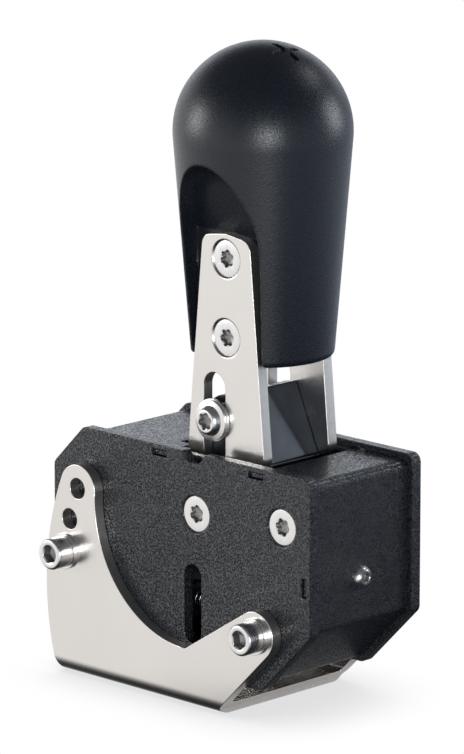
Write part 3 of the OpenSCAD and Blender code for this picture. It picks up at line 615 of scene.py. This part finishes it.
def coil_tree():
    """A compression spring along X with closer coils at both ends."""
    tree, g, given = new_tree("Coil", "Spring", (
        ("Length", "Float", 14.6 * MM),
        ("Radius", "Float", 3.6 * MM),
        ("Wire Radius", "Float", WIRE_R * MM),
        ("Coils", "Float", 7.0),
        ("Closing", "Float", 0.4),
        ("Finish", "Material", None),
    ))
    line = g.node("GeometryNodeCurvePrimitiveLine")
    line = g.node("GeometryNodeResampleCurve", None, {"Curve": line, "Count": 260})
    share = g.node("GeometryNodeSplineParameter")
    angle = share * given["Coils"] * math.tau
    closing = (share * math.tau).sine() * given["Closing"] * (1 / math.tau)
    run = given["Length"] - given["Wire Radius"] * 2
    spot = g.node("ShaderNodeCombineXYZ", None, {
        "X": (share - closing) * run + given["Wire Radius"],
        "Y": angle.sine() * given["Radius"],
        "Z": angle.cosine() * given["Radius"],
    })
    line = g.node("GeometryNodeSetPosition", None, {"Geometry": line, "Position": spot})
    ring = {"Resolution": 14, "Radius": given["Wire Radius"]}
    ring = g.node("GeometryNodeCurvePrimitiveCircle", None, ring)
    wire = {"Curve": line, "Profile Curve": ring, "Fill Caps": True}
    g.result(g.node("GeometryNodeCurveToMesh", None, wire), given["Finish"])
    return tree


def outward(mesh):
    """Merges doubled points and turns the faces outwards."""
    work = bmesh.new()
    work.from_mesh(mesh)
    bmesh.ops.remove_doubles(work, verts=work.verts, dist=0.0005 * MM)
    bmesh.ops.recalc_face_normals(work, faces=work.faces)
    work.to_mesh(mesh)
    work.free()


# Knob

def rounded_max(a, b, r):
    """The larger of two distances, with their corner rounded over a width r."""
    h = np.maximum(r - np.abs(a - b), 0.0) / r
    return np.maximum(a, b) + h * h * r * 0.25


def knob_distance(p, rim, foot):
    """Distance of points from the knob's surface, in millimetres, negative inside."""
    x, y, z = p[:, 0], np.abs(p[:, 1]), p[:, 2]
    r = np.hypot(x, y)
    dome = np.hypot(r, z - KNOB_MID) - KNOB_R
    side = (r - KNOB_R * math.cos(KNOB_TAPER)) * math.cos(KNOB_TAPER)
    side = side - (z - KNOB_MID + KNOB_R * math.sin(KNOB_TAPER)) * math.sin(KNOB_TAPER)
    body = np.where(z - KNOB_MID < -math.tan(KNOB_TAPER) * r, side, dome)
    body = rounded_max(body, KNOB_FOOT - z, foot)
    grown = (z - RECESS_START) / (RECESS_SPRING - RECESS_START)
    half = RECESS_FOOT + (RECESS_HALF - RECESS_FOOT) * grown
    wall = np.abs(x) - half
    up = np.maximum(z - RECESS_SPRING, 0.0)
    level = np.hypot(x / RECESS_HALF, up / RECESS_RISE)
    slope = np.hypot(x / RECESS_HALF ** 2, up / RECESS_RISE ** 2) / np.maximum(level, 1e-6)
    arch = (level - 1.0) / np.maximum(slope, 1e-6)
    wall = np.where(z < RECESS_SPRING, wall, arch)
    above = np.maximum(z - RECESS_TURN, 0.0)
    floor = LEVER_PLATE_IN + above * math.tan(RECESS_LEAN) - y
    floor = floor * np.where(above > 0, math.cos(RECESS_LEAN), 1.0)
    recess = rounded_max(wall, floor, BLEND_FLAT + BLEND_SLOPE * np.minimum(above / BLEND_RISE, 1.0))
    return rounded_max(body, -recess, rim)


def settle_on_form(points, rim, foot):
    """Moves points onto the knob's surface along its slope."""
    rounds, step, flattest = 6, 0.04, 0.2
    for _ in range(rounds):
        here = knob_distance(points, rim, foot)
        slope = np.empty_like(points)
        for axis in range(3):
            shift = np.zeros(3)
            shift[axis] = step
            slope[:, axis] = knob_distance(points + shift, rim, foot)
            slope[:, axis] -= knob_distance(points - shift, rim, foot)
        slope /= 2 * step
        points = points - slope * (here / np.maximum((slope ** 2).sum(1), flattest))[:, None]
    return points


def knob_blank():
    """The knob's rough solid: a turned body with a recess cut in each side."""
    axis_r, foot_r, pole, steps = 0.4, KNOB_R * 0.79, 1.555, 96
    rings = [(axis_r, KNOB_FOOT), (foot_r, KNOB_FOOT)]
    for a in np.linspace(-KNOB_TAPER, pole, 40):
        rings.append((KNOB_R * math.cos(a), KNOB_MID + KNOB_R * math.sin(a)))
    blank = add_object("knob_piece", turned("knob_piece", plain(*rings), steps))
    below, far, crown = KNOB_FOOT - 3.0, 40.0, 1.54
    levels = [(RECESS_FOOT, below)]
    for a in np.linspace(0, crown, 30):
        levels.append((RECESS_HALF * math.cos(a), RECESS_SPRING + RECESS_RISE * math.sin(a)))
    n = len(levels)
    for side in (-1, 1):
        points = []
        for half, z in levels:
            near = LEVER_PLATE_IN + max(z - RECESS_TURN, 0.0) * math.tan(RECESS_LEAN)
            for x, y in ((-half, near), (half, near), (half, far), (-half, far)):
                points.append((x * MM, side * y * MM, z * MM))
        faces = [(0, 1, 2, 3), tuple(range(4 * n - 4, 4 * n))]
        for a in range(0, 4 * n - 4, 4):
            for k in range(4):
                m = (k + 1) % 4
                faces.append((a + k, a + m, a + 4 + m, a + 4 + k))
        cut(blank, points, faces)
    return blank


def cut(obj, points, faces):
    """Cuts a closed form out of an object."""
    mesh = bpy.data.meshes.new("cutter")
    mesh.from_pydata(points, [], faces)
    outward(mesh)
    cutter = add_object("cutter", mesh)
    modifier = obj.modifiers.new("Cut", "BOOLEAN")
    modifier.operation = "DIFFERENCE"
    modifier.solver = "EXACT"
    modifier.object = cutter
    settle(obj)
    bpy.data.objects.remove(cutter)


def cut_bar(obj, x, length, width, depth, along_x):
    """A groove with round ends that follows the dome. Its middle lies over a point of the X axis."""
    half, r, tip = length / 2, width / 2, 0.02
    ends = [half - r + r * math.sin(a) for a in np.linspace(0, math.pi / 2, 7)]
    stations = [-s for s in reversed(ends)] + list(np.linspace(-half + r, half - r, 9))[1:-1] + ends
    points, faces = [], []
    for s in stations:
        w = math.sqrt(max(r * r - max(abs(s) - half + r, 0.0) ** 2, tip ** 2))
        for t in (-w, 0.0, w):
            px, py = (x + s, t) if along_x else (x + t, s)
            for reach in (KNOB_R - depth, KNOB_R + 1.0):
                pz = KNOB_MID + math.sqrt(reach * reach - px * px - py * py)
                points.append((px * MM, py * MM, pz * MM))
    n = len(stations)
    for i in range(n - 1):
        a, b = 6 * i, 6 * (i + 1)
        for j in (0, 2):
            faces.append((a + j, a + j + 2, b + j + 2, b + j))
            faces.append((a + j + 1, b + j + 1, b + j + 3, a + j + 3))
        faces.append((a, b, b + 1, a + 1))
        faces.append((a + 4, a + 5, b + 5, b + 4))
    for a in (0, 6 * (n - 1)):
        faces.append((a, a + 1, a + 3, a + 5, a + 4, a + 2))
    cut(obj, points, faces)


# Settings

class ShifterSizes(bpy.types.PropertyGroup):
    """Sizes of the rounded edges, the knob's marks and the springs."""

    sheet_edge: bpy.props.FloatProperty(
        name="Sheet edge", description="Rounding of the steel sheets' edges",
        default=0.28 * MM, min=0.05 * MM, max=1.0 * MM, subtype="DISTANCE",
    )
    coat_edge: bpy.props.FloatProperty(
        name="Coated edge", description="Rounding of the coated sheets' edges",
        default=0.34 * MM, min=0.05 * MM, max=1.0 * MM, subtype="DISTANCE",
    )
    arm_edge: bpy.props.FloatProperty(
        name="Arm edge", description="Rounding of the lever arm's edges",
        default=0.4 * MM, min=0.1 * MM, max=1.0 * MM, subtype="DISTANCE",
    )
    washer_edge: bpy.props.FloatProperty(
        name="Washer edge", description="Rounding of the washers' edges",
        default=0.12 * MM, min=0.05 * MM, max=0.3 * MM, subtype="DISTANCE",
    )
    clamp_washer_edge: bpy.props.FloatProperty(
        name="Clamp washer edge", description="Rounding of the clamp washers' edges",
        default=0.15 * MM, min=0.05 * MM, max=0.3 * MM, subtype="DISTANCE",
    )
    knob_rim: bpy.props.FloatProperty(
        name="Knob rim", description="Width of the rounding around the knob's recesses",
        default=0.9 * MM, min=0.5 * MM, max=6.0 * MM, subtype="DISTANCE",
    )
    knob_foot: bpy.props.FloatProperty(
        name="Knob foot", description="Width of the rounding under the knob",
        default=1.8 * MM, min=0.5 * MM, max=6.0 * MM, subtype="DISTANCE",
    )
    knob_mesh: bpy.props.FloatProperty(
        name="Knob mesh", description="Size of the knob's faces",
        default=0.5 * MM, min=0.4 * MM, max=2.0 * MM, subtype="DISTANCE",
    )
    mark_length: bpy.props.FloatProperty(
        name="Mark length", description="Length of the plus and minus sign on the knob",
        default=11.0 * MM, min=3.0 * MM, max=14.0 * MM, subtype="DISTANCE",
    )
    mark_width: bpy.props.FloatProperty(
        name="Mark width", description="Width of the signs' lines",
        default=2.0 * MM, min=0.6 * MM, max=3.0 * MM, subtype="DISTANCE",
    )
    mark_depth: bpy.props.FloatProperty(
        name="Mark depth", description="Depth of the signs' lines",
        default=0.8 * MM, min=0.2 * MM, max=1.5 * MM, subtype="DISTANCE",
    )
    mark_spacing: bpy.props.FloatProperty(
        name="Mark spacing", description="Distance between the two signs",
        default=19.0 * MM, min=8.0 * MM, max=24.0 * MM, subtype="DISTANCE",
    )
    coils: bpy.props.FloatProperty(
        name="Coils", description="Number of coils in each centring spring", default=7.0, min=4.0, max=9.0,
    )


def in_mm(size):
    """A length setting in millimetres, without the last digits of its storage."""
    return round(size / MM, 4)


class ShifterColours(bpy.types.PropertyGroup):
    """Colours of the finishes."""

    steel: bpy.props.FloatVectorProperty(
        name="Stainless sheet", description="Bracket and lever plates", subtype="COLOR", size=3,
        default=(0.745, 0.713, 0.672), min=0.0, max=1.0,
    )
    hardware: bpy.props.FloatVectorProperty(
        name="Hardware", description="Screws and washers", subtype="COLOR", size=3,
        default=(0.77, 0.76, 0.74), min=0.0, max=1.0,
    )
    coat: bpy.props.FloatVectorProperty(
        name="Powder coat", description="Housing", subtype="COLOR", size=3,
        default=(0.0078, 0.0094, 0.0135), min=0.0, max=1.0,
    )
    grip: bpy.props.FloatVectorProperty(
        name="Knob", description="Soft-touch coat of the knob", subtype="COLOR", size=3,
        default=(0.0095, 0.0125, 0.0185), min=0.0, max=1.0,
    )
    arm: bpy.props.FloatVectorProperty(
        name="Anodised", description="Lever arm and end blocks", subtype="COLOR", size=3,
        default=(0.046, 0.053, 0.064), min=0.0, max=1.0,
    )


def finish(name):
    """One of the finishes, made when it is first asked for."""
    full = "finish_" + name
    known = bpy.data.materials.get(full)
    if known:
        return known
    colours = bpy.context.scene.shifter_colours
    recipes = {
        "steel": lambda: satin_steel(full, colours.steel, 0.25),
        "steel_edge": lambda: bright_steel(full, scaled(colours.steel, 1.08), 0.26),
        "steel_cut": lambda: cut_steel(full, colours.steel),
        "hardware": lambda: bright_steel(full, colours.hardware, 0.26),
        "coat": lambda: wrinkle_coat(full, colours.coat),
        # The rounded edges' coat is painted lighter, partly as wear and partly as an edge highlight
        "coat_edge": lambda: wrinkle_coat(full, scaled(colours.coat, 1.5), roughness=0.30, wear_and_edge_sheen=0.5),
        "knob": lambda: soft_touch(full, colours.grip),
        "anodised": lambda: anodised(full, colours.arm),
        "aluminium": lambda: plain_metal(full, (0.72, 0.72, 0.73), 0.34),
        "bronze": lambda: plain_metal(full, (0.62, 0.43, 0.2), 0.42, period=0.4),
        "gold": lambda: plain_metal(full, (0.9, 0.66, 0.28), 0.22),
        "nickel": lambda: plain_metal(full, (0.72, 0.70, 0.66), 0.16),
        "wire": lambda: bright_steel(full, (0.92, 0.92, 0.93), 0.24),
        "plastic": lambda: moulded(full, (0.022, 0.022, 0.024), 0.45),
        "rubber": lambda: moulded(full, (0.018, 0.018, 0.018), 0.7, period=0.3),
        "board": lambda: solder_mask(full, (0.015, 0.11, 0.045)),
    }
    return recipes[name]()


def mark_cut_faces(mesh):
    """Gives a sheet's cut edges the third finish, and leaves its sides and the base's two faces."""
    above_base = 4.2 * MM
    for face in mesh.polygons:
        of_base = abs(face.normal.z) > 0.99 and face.center.z < above_base
        if face.material_index == 0 and abs(face.normal.y) < 0.2 and not of_base:
            face.material_index = 2


def dress(node, body, slot, rounding, *names, segments=2):
    """A rounded copy of a CAD node with a face, an edge and perhaps a cut-edge finish."""
    obj = rounded_copy(node, rounding, segments)
    give(obj, *(finish(n) for n in names))
    if len(names) > 2:
        mark_cut_faces(obj.data)
    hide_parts(node)
    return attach(obj, body)


# Operators

class SHIFTER_OT_bracket(bpy.types.Operator):
    """Bracket and its washers"""

    bl_idname = "shifter.bracket"
    bl_label = "Bracket"
    bl_options = {"REGISTER", "UNDO"}

    def execute(self, context):
        sizes = context.scene.shifter_sizes
        sheet = ("steel", "steel_edge", "steel_cut")
        dress("bracket", "housing", "stainless_sheet", sizes.sheet_edge, *sheet)
        dress("bracket_washers", "housing", "bright_hardware", sizes.washer_edge, "hardware", "hardware")
        return {"FINISHED"}


class SHIFTER_OT_housing(bpy.types.Operator):
    """Side plates and folded covers"""

    bl_idname = "shifter.housing"
    bl_label = "Housing"
    bl_options = {"REGISTER", "UNDO"}

    def execute(self, context):
        rounding = context.scene.shifter_sizes.coat_edge
        for node in ("side_plate_front", "side_plate_rear", "housing_shell", "bottom_cover"):
            dress(node, "housing", "black_powder_coat", rounding, "coat", "coat_edge")
        return {"FINISHED"}


class SHIFTER_OT_lever(bpy.types.Operator):
    """Lever arm, lever plates and clamp washers"""

    bl_idname = "shifter.lever"
    bl_label = "Lever"
    bl_options = {"REGISTER", "UNDO"}

    def execute(self, context):
        sizes = context.scene.shifter_sizes
        sheet = ("steel", "steel_edge", "steel_cut")
        for node in ("lever_plate_front", "lever_plate_rear"):
            dress(node, "grip", "stainless_sheet", sizes.sheet_edge, *sheet)
        dress("lever_arm", "lever", "black_anodised", sizes.arm_edge, "anodised", "anodised", segments=3)
        rounding = sizes.clamp_washer_edge
        dress("clamp_washers", "lever", "bright_hardware", rounding, "hardware", "hardware")
        return {"FINISHED"}


class SHIFTER_OT_knob(bpy.types.Operator):
    """Knob with a recess on each side and a plus and minus sign on top"""

    bl_idname = "shifter.knob"
    bl_label = "Knob"
    bl_options = {"REGISTER", "UNDO"}

    def execute(self, context):
        sizes = context.scene.shifter_sizes
        obj = knob_blank()
        remesh = obj.modifiers.new("Even faces", "REMESH")
        remesh.mode = "VOXEL"
        remesh.voxel_size = sizes.knob_mesh
        settle(obj)
        points = np.empty(len(obj.data.vertices) * 3)
        obj.data.vertices.foreach_get("co", points)
        points = points.reshape(-1, 3) / MM
        points = settle_on_form(points, in_mm(sizes.knob_rim), in_mm(sizes.knob_foot))
        obj.data.vertices.foreach_set("co", (points * MM).ravel())
        obj.data.update()
        half = in_mm(sizes.mark_spacing) / 2
        bar = [in_mm(size) for size in (sizes.mark_length, sizes.mark_width, sizes.mark_depth)]
        for x, along_x in ((half, True), (half, False), (-half, False)):
            cut_bar(obj, x, *bar, along_x)
        smooth(obj, 40)
        give(obj, finish("knob"))
        for face in obj.data.polygons:
            face.material_index = 0
        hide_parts("knob")
        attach(obj, "grip")
        return {"FINISHED"}


class SHIFTER_OT_screws(bpy.types.Operator):
    """All screws, with their heads and driver recesses"""

    bl_idname = "shifter.screws"
    bl_label = "Screws"
    bl_options = {"REGISTER", "UNDO"}

    def execute(self, context):
        tree, steel = screw_tree(), finish("hardware")
        cap, sunk = cap_head(), countersunk_head()
        cover_places = [((WALL_RIGHT, 0.0, middle("cover_screw", "z")), (1, 0, 0))]
        sensor_top, across_x, across_y = 16.7, 11, 7
        sensor_places = [
            ((LEVER_X + sx * across_x, sy * across_y, sensor_top), (0, 0, 1))
            for sx in (-1, 1) for sy in (-1, 1)
        ]
        board_in, board_y, board_z = WALL_LEFT + 15.1, 12, middle("main_board_screws", "z")
        board_places = [
            ((x, side * board_y, board_z), (aim, 0, 0))
            for x, aim in ((WALL_LEFT, -1), (board_in, 1)) for side in (-1, 1)
        ]
        # Node, body, head, places, shank radius, shank length, and the shank's start below the place
        rows = (
            ("tilt_pivot_screws", "housing", cap, both_sides(TILT_PIVOT_PLACES, WASHER_Y),
             SHANK_R, 16.0, 0.0),
            ("tilt_index_screws", "housing", cap, both_sides(TILT_INDEX_PLACES, WASHER_Y),
             SHANK_R, 16.0, 0.0),
            ("plate_screws", "housing", sunk, both_sides(PLATE_PLACES, PLATE_Y - HEAD_DROP),
             SHANK_R, 13.2, SUNK_DEPTH),
            ("knob_screws", "grip", sunk, both_sides(KNOB_PLACES, LEVER_PLATE_Y - HEAD_DROP),
             SHANK_R, 10.2, SUNK_DEPTH),
            ("clamp_screws", "lever", flange_head(), both_sides(CLAMP_PLACES, CLAMP_Y),
             SHANK_R, 15.3, 0.0),
            ("cover_screw", "housing", button_head(3.6, 2.2, 1.35), cover_places, 2.0, 18.0, 0.0),
            ("sensor_board_screws", "housing", button_head(1.8, 0.9, 0.65), sensor_places, 0.9, 2.8, 0.0),
            ("main_board_screws", "housing", button_head(2.8, 1.6, 1.05), board_places, 1.5, 5.0, 0.0),
        )
        for seed, (node, body, head, places, radius, length, depth) in enumerate(rows):
            place_screws(tree, node, body, head, places, steel, radius, length, depth, seed)
        return {"FINISHED"}


class SHIFTER_OT_springs(bpy.types.Operator):
    """Centring springs between the housing and the lever's tail"""

    bl_idname = "shifter.springs"
    bl_label = "Springs"
    bl_options = {"REGISTER", "UNDO"}

    def execute(self, context):
        tree = coil_tree()
        for side, node in ((1, "centring_spring_right"), (-1, "centring_spring_left")):
            low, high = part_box(node)
            axis_z = (low.z + high.z) / 2
            obj = add_object(node + "_piece", bpy.data.meshes.new(node + "_piece"))
            modifier = obj.modifiers.new("Coil", "NODES")
            modifier.node_group = tree
            set_inputs(modifier, tree, {
                "Length": high.x - low.x,
                "Radius": (high.z - low.z) / 2 - (WIRE_R + COIL_GAP) * MM,
                "Coils": context.scene.shifter_sizes.coils,
                "Finish": finish("wire"),
            })
            settle(obj)
            obj.data.transform(Matrix.Translation((low.x, 0, axis_z)))
            outward(obj.data)
            smooth(obj, 50)
            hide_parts(node)
            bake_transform(obj)
        return {"FINISHED"}


class SHIFTER_OT_inside(bpy.types.Operator):
    """Finishes of the parts that keep their CAD shape"""

    bl_idname = "shifter.inside"
    bl_label = "Inside"
    bl_options = {"REGISTER", "UNDO"}

    def execute(self, context):
        kept = {
            "aluminium": ("spacer_post", "index_bar", "cover_spacer", "knob_core", "board_pads"),
            "anodised": ("end_block_right", "end_block_left"),
            "hardware": ("pivot_axle", "slot_bushes"),
            "bronze": ("pivot_bushes", "main_board_spacers"),
            "plastic": ("pivot_spacers", "spring_cups", "data_socket"),
            "rubber": ("stop_bumpers",),
            "nickel": ("sensor_magnet",),
            "board": ("sensor_board", "main_board"),
            "gold": ("socket_contacts",),
        }
        for name, nodes in kept.items():
            for node in nodes:
                for place in NODES[node].material_slots:
                    place.material = finish(name)
        return {"FINISHED"}


class SHIFTER_OT_stage(bpy.types.Operator):
    """Floor, studio light and camera"""

    bl_idname = "shifter.stage"
    bl_label = "Stage"
    bl_options = {"REGISTER", "UNDO"}

    def execute(self, context):
        make_floor()
        make_world()
        make_lights()
        make_camera()
        return {"FINISHED"}


# Stage, in metres. Directions look from the shifter.

def ray(g, *names):
    """A mask of the rays of the named kinds."""
    masks = [g.node("ShaderNodeLightPath", output=f"Is {name} Ray") for name in names]
    return masks[0] if len(masks) == 1 else masks[0].largest(masks[1])


def mirrored_floor(g):
    """The floor as metal sees it: dim from above, and towards grazing angles as bright as its place is."""
    spot = g.node("ShaderNodeTexCoord", output="Object")
    x, y = (g.node("ShaderNodeSeparateXYZ", None, {"Vector": spot}, output=k) for k in (0, 1))

    # Pale in front and before the softbox, and again far behind; nearer behind the shifter it is painted
    # dark as the shifter's shade, as metal sees it
    front = ((x + y) * -1.0).between(-0.05, 0.1)
    ahead = x * FRONT_AIM[0] + y * FRONT_AIM[1]
    aside = (y * FRONT_AIM[0] - x * FRONT_AIM[1]) / ahead.largest(0.01)
    strip = (aside * aside).between(0.004, 0.05, 0.8, 0.0) * ahead.between(0.05, 0.15)
    far = (x * x + y * y).between(0.09, 0.18)
    behind = g.blend(far, (0.05, 0.057, 0.07), (0.50, 0.56, 0.66))
    level = g.blend(front.largest(strip), behind, (0.99, 0.99, 1.0))

    # A narrow pool of light painted on the floor beside the end of the base plate, seen only in reflections
    foot = x.between(0.0065, 0.008) * x.between(0.013, 0.018, 1.0, 0.0) * y.between(-0.030, -0.027)
    level = g.blend(foot, level, (0.50, 0.50, 0.52))
    grazing = g.node("ShaderNodeLayerWeight", None, {"Blend": 0.5}, output="Facing").between(0.28, 0.68)
    pale = g.node("ShaderNodeEmission", None, {"Color": level, "Strength": 1.0})
    dim = g.node("ShaderNodeEmission", None, {"Color": (0.02, 0.021, 0.023, 1), "Strength": 1.0})
    return g.node("ShaderNodeMixShader", None, {0: grazing.largest(foot), 1: dim, 2: pale})


def make_floor():
    """A pale floor. The camera sees it white, with the object's shadow on it."""
    mesh = bpy.data.meshes.new("floor")
    half, below = 4.0, 0.05 * MM
    corners = [(-half, -half, 0), (half, -half, 0), (half, half, 0), (-half, half, 0)]
    mesh.from_pydata(corners, [], [(0, 1, 2, 3)])
    floor = add_object("floor", mesh)
    floor.location.z = -below
    made, g = new_finish("floor_white")
    near = g.node("ShaderNodeAmbientOcclusion", {"samples": 8}, {"Distance": 0.03}, output="AO")
    tone = g.blend(near.between(0.25, 0.95), (0.74, 0.74, 0.75), (1, 1, 1))
    white = g.node("ShaderNodeEmission", None, {"Color": tone, "Strength": 1.0})
    matt = g.node("ShaderNodeBsdfDiffuse", None, {"Color": (0.5, 0.5, 0.5, 1)})
    mirror = ray(g, "Glossy", "Transmission")
    both = g.node("ShaderNodeMixShader", None, {0: mirror, 1: matt, 2: mirrored_floor(g)})
    both = g.node("ShaderNodeMixShader", None, {0: ray(g, "Camera"), 1: both, 2: white})
    g.node("ShaderNodeOutputMaterial", None, {"Surface": both})
    give(floor, made)


def make_world():
    """White to the camera. Elsewhere a horizon, pale in front and at a panel, under a dim ceiling."""
    world = bpy.data.worlds.new("studio")
    bpy.context.scene.world = world
    world.use_nodes = True
    world.node_tree.nodes.clear()
    g = Graph(world.node_tree)
    aim = g.node("ShaderNodeTexCoord", output="Generated")
    x, y, height = (g.node("ShaderNodeSeparateXYZ", None, {"Vector": aim}, output=k) for k in range(3))
    front = (x * -0.95 - y * 0.3).between(-0.2, 0.7)
    horizon = g.blend(front, (0.40, 0.45, 0.53), (0.95, 0.96, 0.98))
    panel = (y * 0.69 - x * 0.68).between(0.6, 0.95) * height.between(0.04, 0.16)
    horizon = g.blend(panel, horizon, (1.25, 1.33, 1.45))
    tone = g.blend(height.between(0.11, 0.58), horizon, (0.10, 0.105, 0.12))
    tone = g.blend(ray(g, "Camera"), tone, (1, 1, 1))
    back = g.node("ShaderNodeBackground", None, {"Color": tone, "Strength": 1.0})
    g.node("ShaderNodeOutputWorld", None, {"Surface": back})


def make_lights():
    """Softboxes given by their direction from the shifter, distance, size and brightness."""
    target = Vector((0.0, 0.0, 0.15))
    for name, aim, distance, width, height, glow, tint in (
        ("left_box", (-0.77, -0.62, 0.17), 1.1, 0.42, 0.40, 6.0, (0.97, 0.985, 1.0)),
        ("front_box", FRONT_AIM, 1.9, 0.66, 0.46, 13.5, (0.95, 0.975, 1.0)),
        ("right_box", (0.49, 0.855, 0.18), 1.1, 0.38, 0.44, 5.8, (0.90, 0.95, 1.0)),
        ("rear_box", (0.2, 0.7, 0.68), 1.3, 0.5, 0.3, 2.5, (0.93, 0.97, 1.0)),
    ):
        data = bpy.data.lights.new(name, "AREA")
        data.shape = "RECTANGLE"
        data.size, data.size_y = width, height
        data.energy = glow * math.pi * width * height
        data.color = tint
        lamp = bpy.data.objects.new(name, data)
        bpy.context.scene.collection.objects.link(lamp)
        away = Vector(aim).normalized()
        lamp.location = target + away * distance
        lamp.rotation_mode = "QUATERNION"
        lamp.rotation_quaternion = away.to_track_quat("Z", "Y")


def make_camera():
    """The photograph's view."""
    data = bpy.data.cameras.new("camera")
    data.sensor_width = 36.0
    data.lens = CAMERA_LENS
    data.clip_start, data.clip_end = 0.05, 20.0
    camera = bpy.data.objects.new("camera", data)
    bpy.context.scene.collection.objects.link(camera)
    camera.location = CAMERA_PLACE
    camera.rotation_mode = "QUATERNION"
    ahead = Vector(CAMERA_TARGET) - camera.location
    camera.rotation_quaternion = ahead.to_track_quat("-Z", "Y")
    bpy.context.scene.camera = camera
    bpy.context.scene.view_settings.view_transform = "Standard"


class SHIFTER_PT_panel(bpy.types.Panel):
    """Lists the settings and the building steps"""

    bl_idname = "SHIFTER_PT_panel"
    bl_label = "Sequential gear shifter"
    bl_space_type = "VIEW_3D"
    bl_region_type = "UI"
    bl_category = "Shifter"

    def draw(self, context):
        column = self.layout.column()
        for group in (context.scene.shifter_sizes, context.scene.shifter_colours):
            for name in group.bl_rna.properties.keys():
                if name not in ("rna_type", "name"):
                    column.prop(group, name)
        for step in STEPS:
            column.operator(step.bl_idname)


STEPS = (
    SHIFTER_OT_stage,
    SHIFTER_OT_bracket,
    SHIFTER_OT_housing,
    SHIFTER_OT_lever,
    SHIFTER_OT_knob,
    SHIFTER_OT_screws,
    SHIFTER_OT_springs,
    SHIFTER_OT_inside,
)
CLASSES = (ShifterSizes, ShifterColours, *STEPS, SHIFTER_PT_panel)


def register():
    for cls in CLASSES:
        bpy.utils.register_class(cls)
    bpy.types.Scene.shifter_sizes = bpy.props.PointerProperty(type=ShifterSizes)
    bpy.types.Scene.shifter_colours = bpy.props.PointerProperty(type=ShifterColours)


def unregister():
    del bpy.types.Scene.shifter_colours
    del bpy.types.Scene.shifter_sizes
    for cls in reversed(CLASSES):
        bpy.utils.unregister_class(cls)


def main():
    register()
    bpy.ops.shifter.stage()
    bpy.ops.shifter.bracket()
    bpy.ops.shifter.housing()
    bpy.ops.shifter.lever()
    bpy.ops.shifter.knob()
    bpy.ops.shifter.screws()
    bpy.ops.shifter.springs()
    bpy.ops.shifter.inside()


if __name__ == "__main__":
    main()
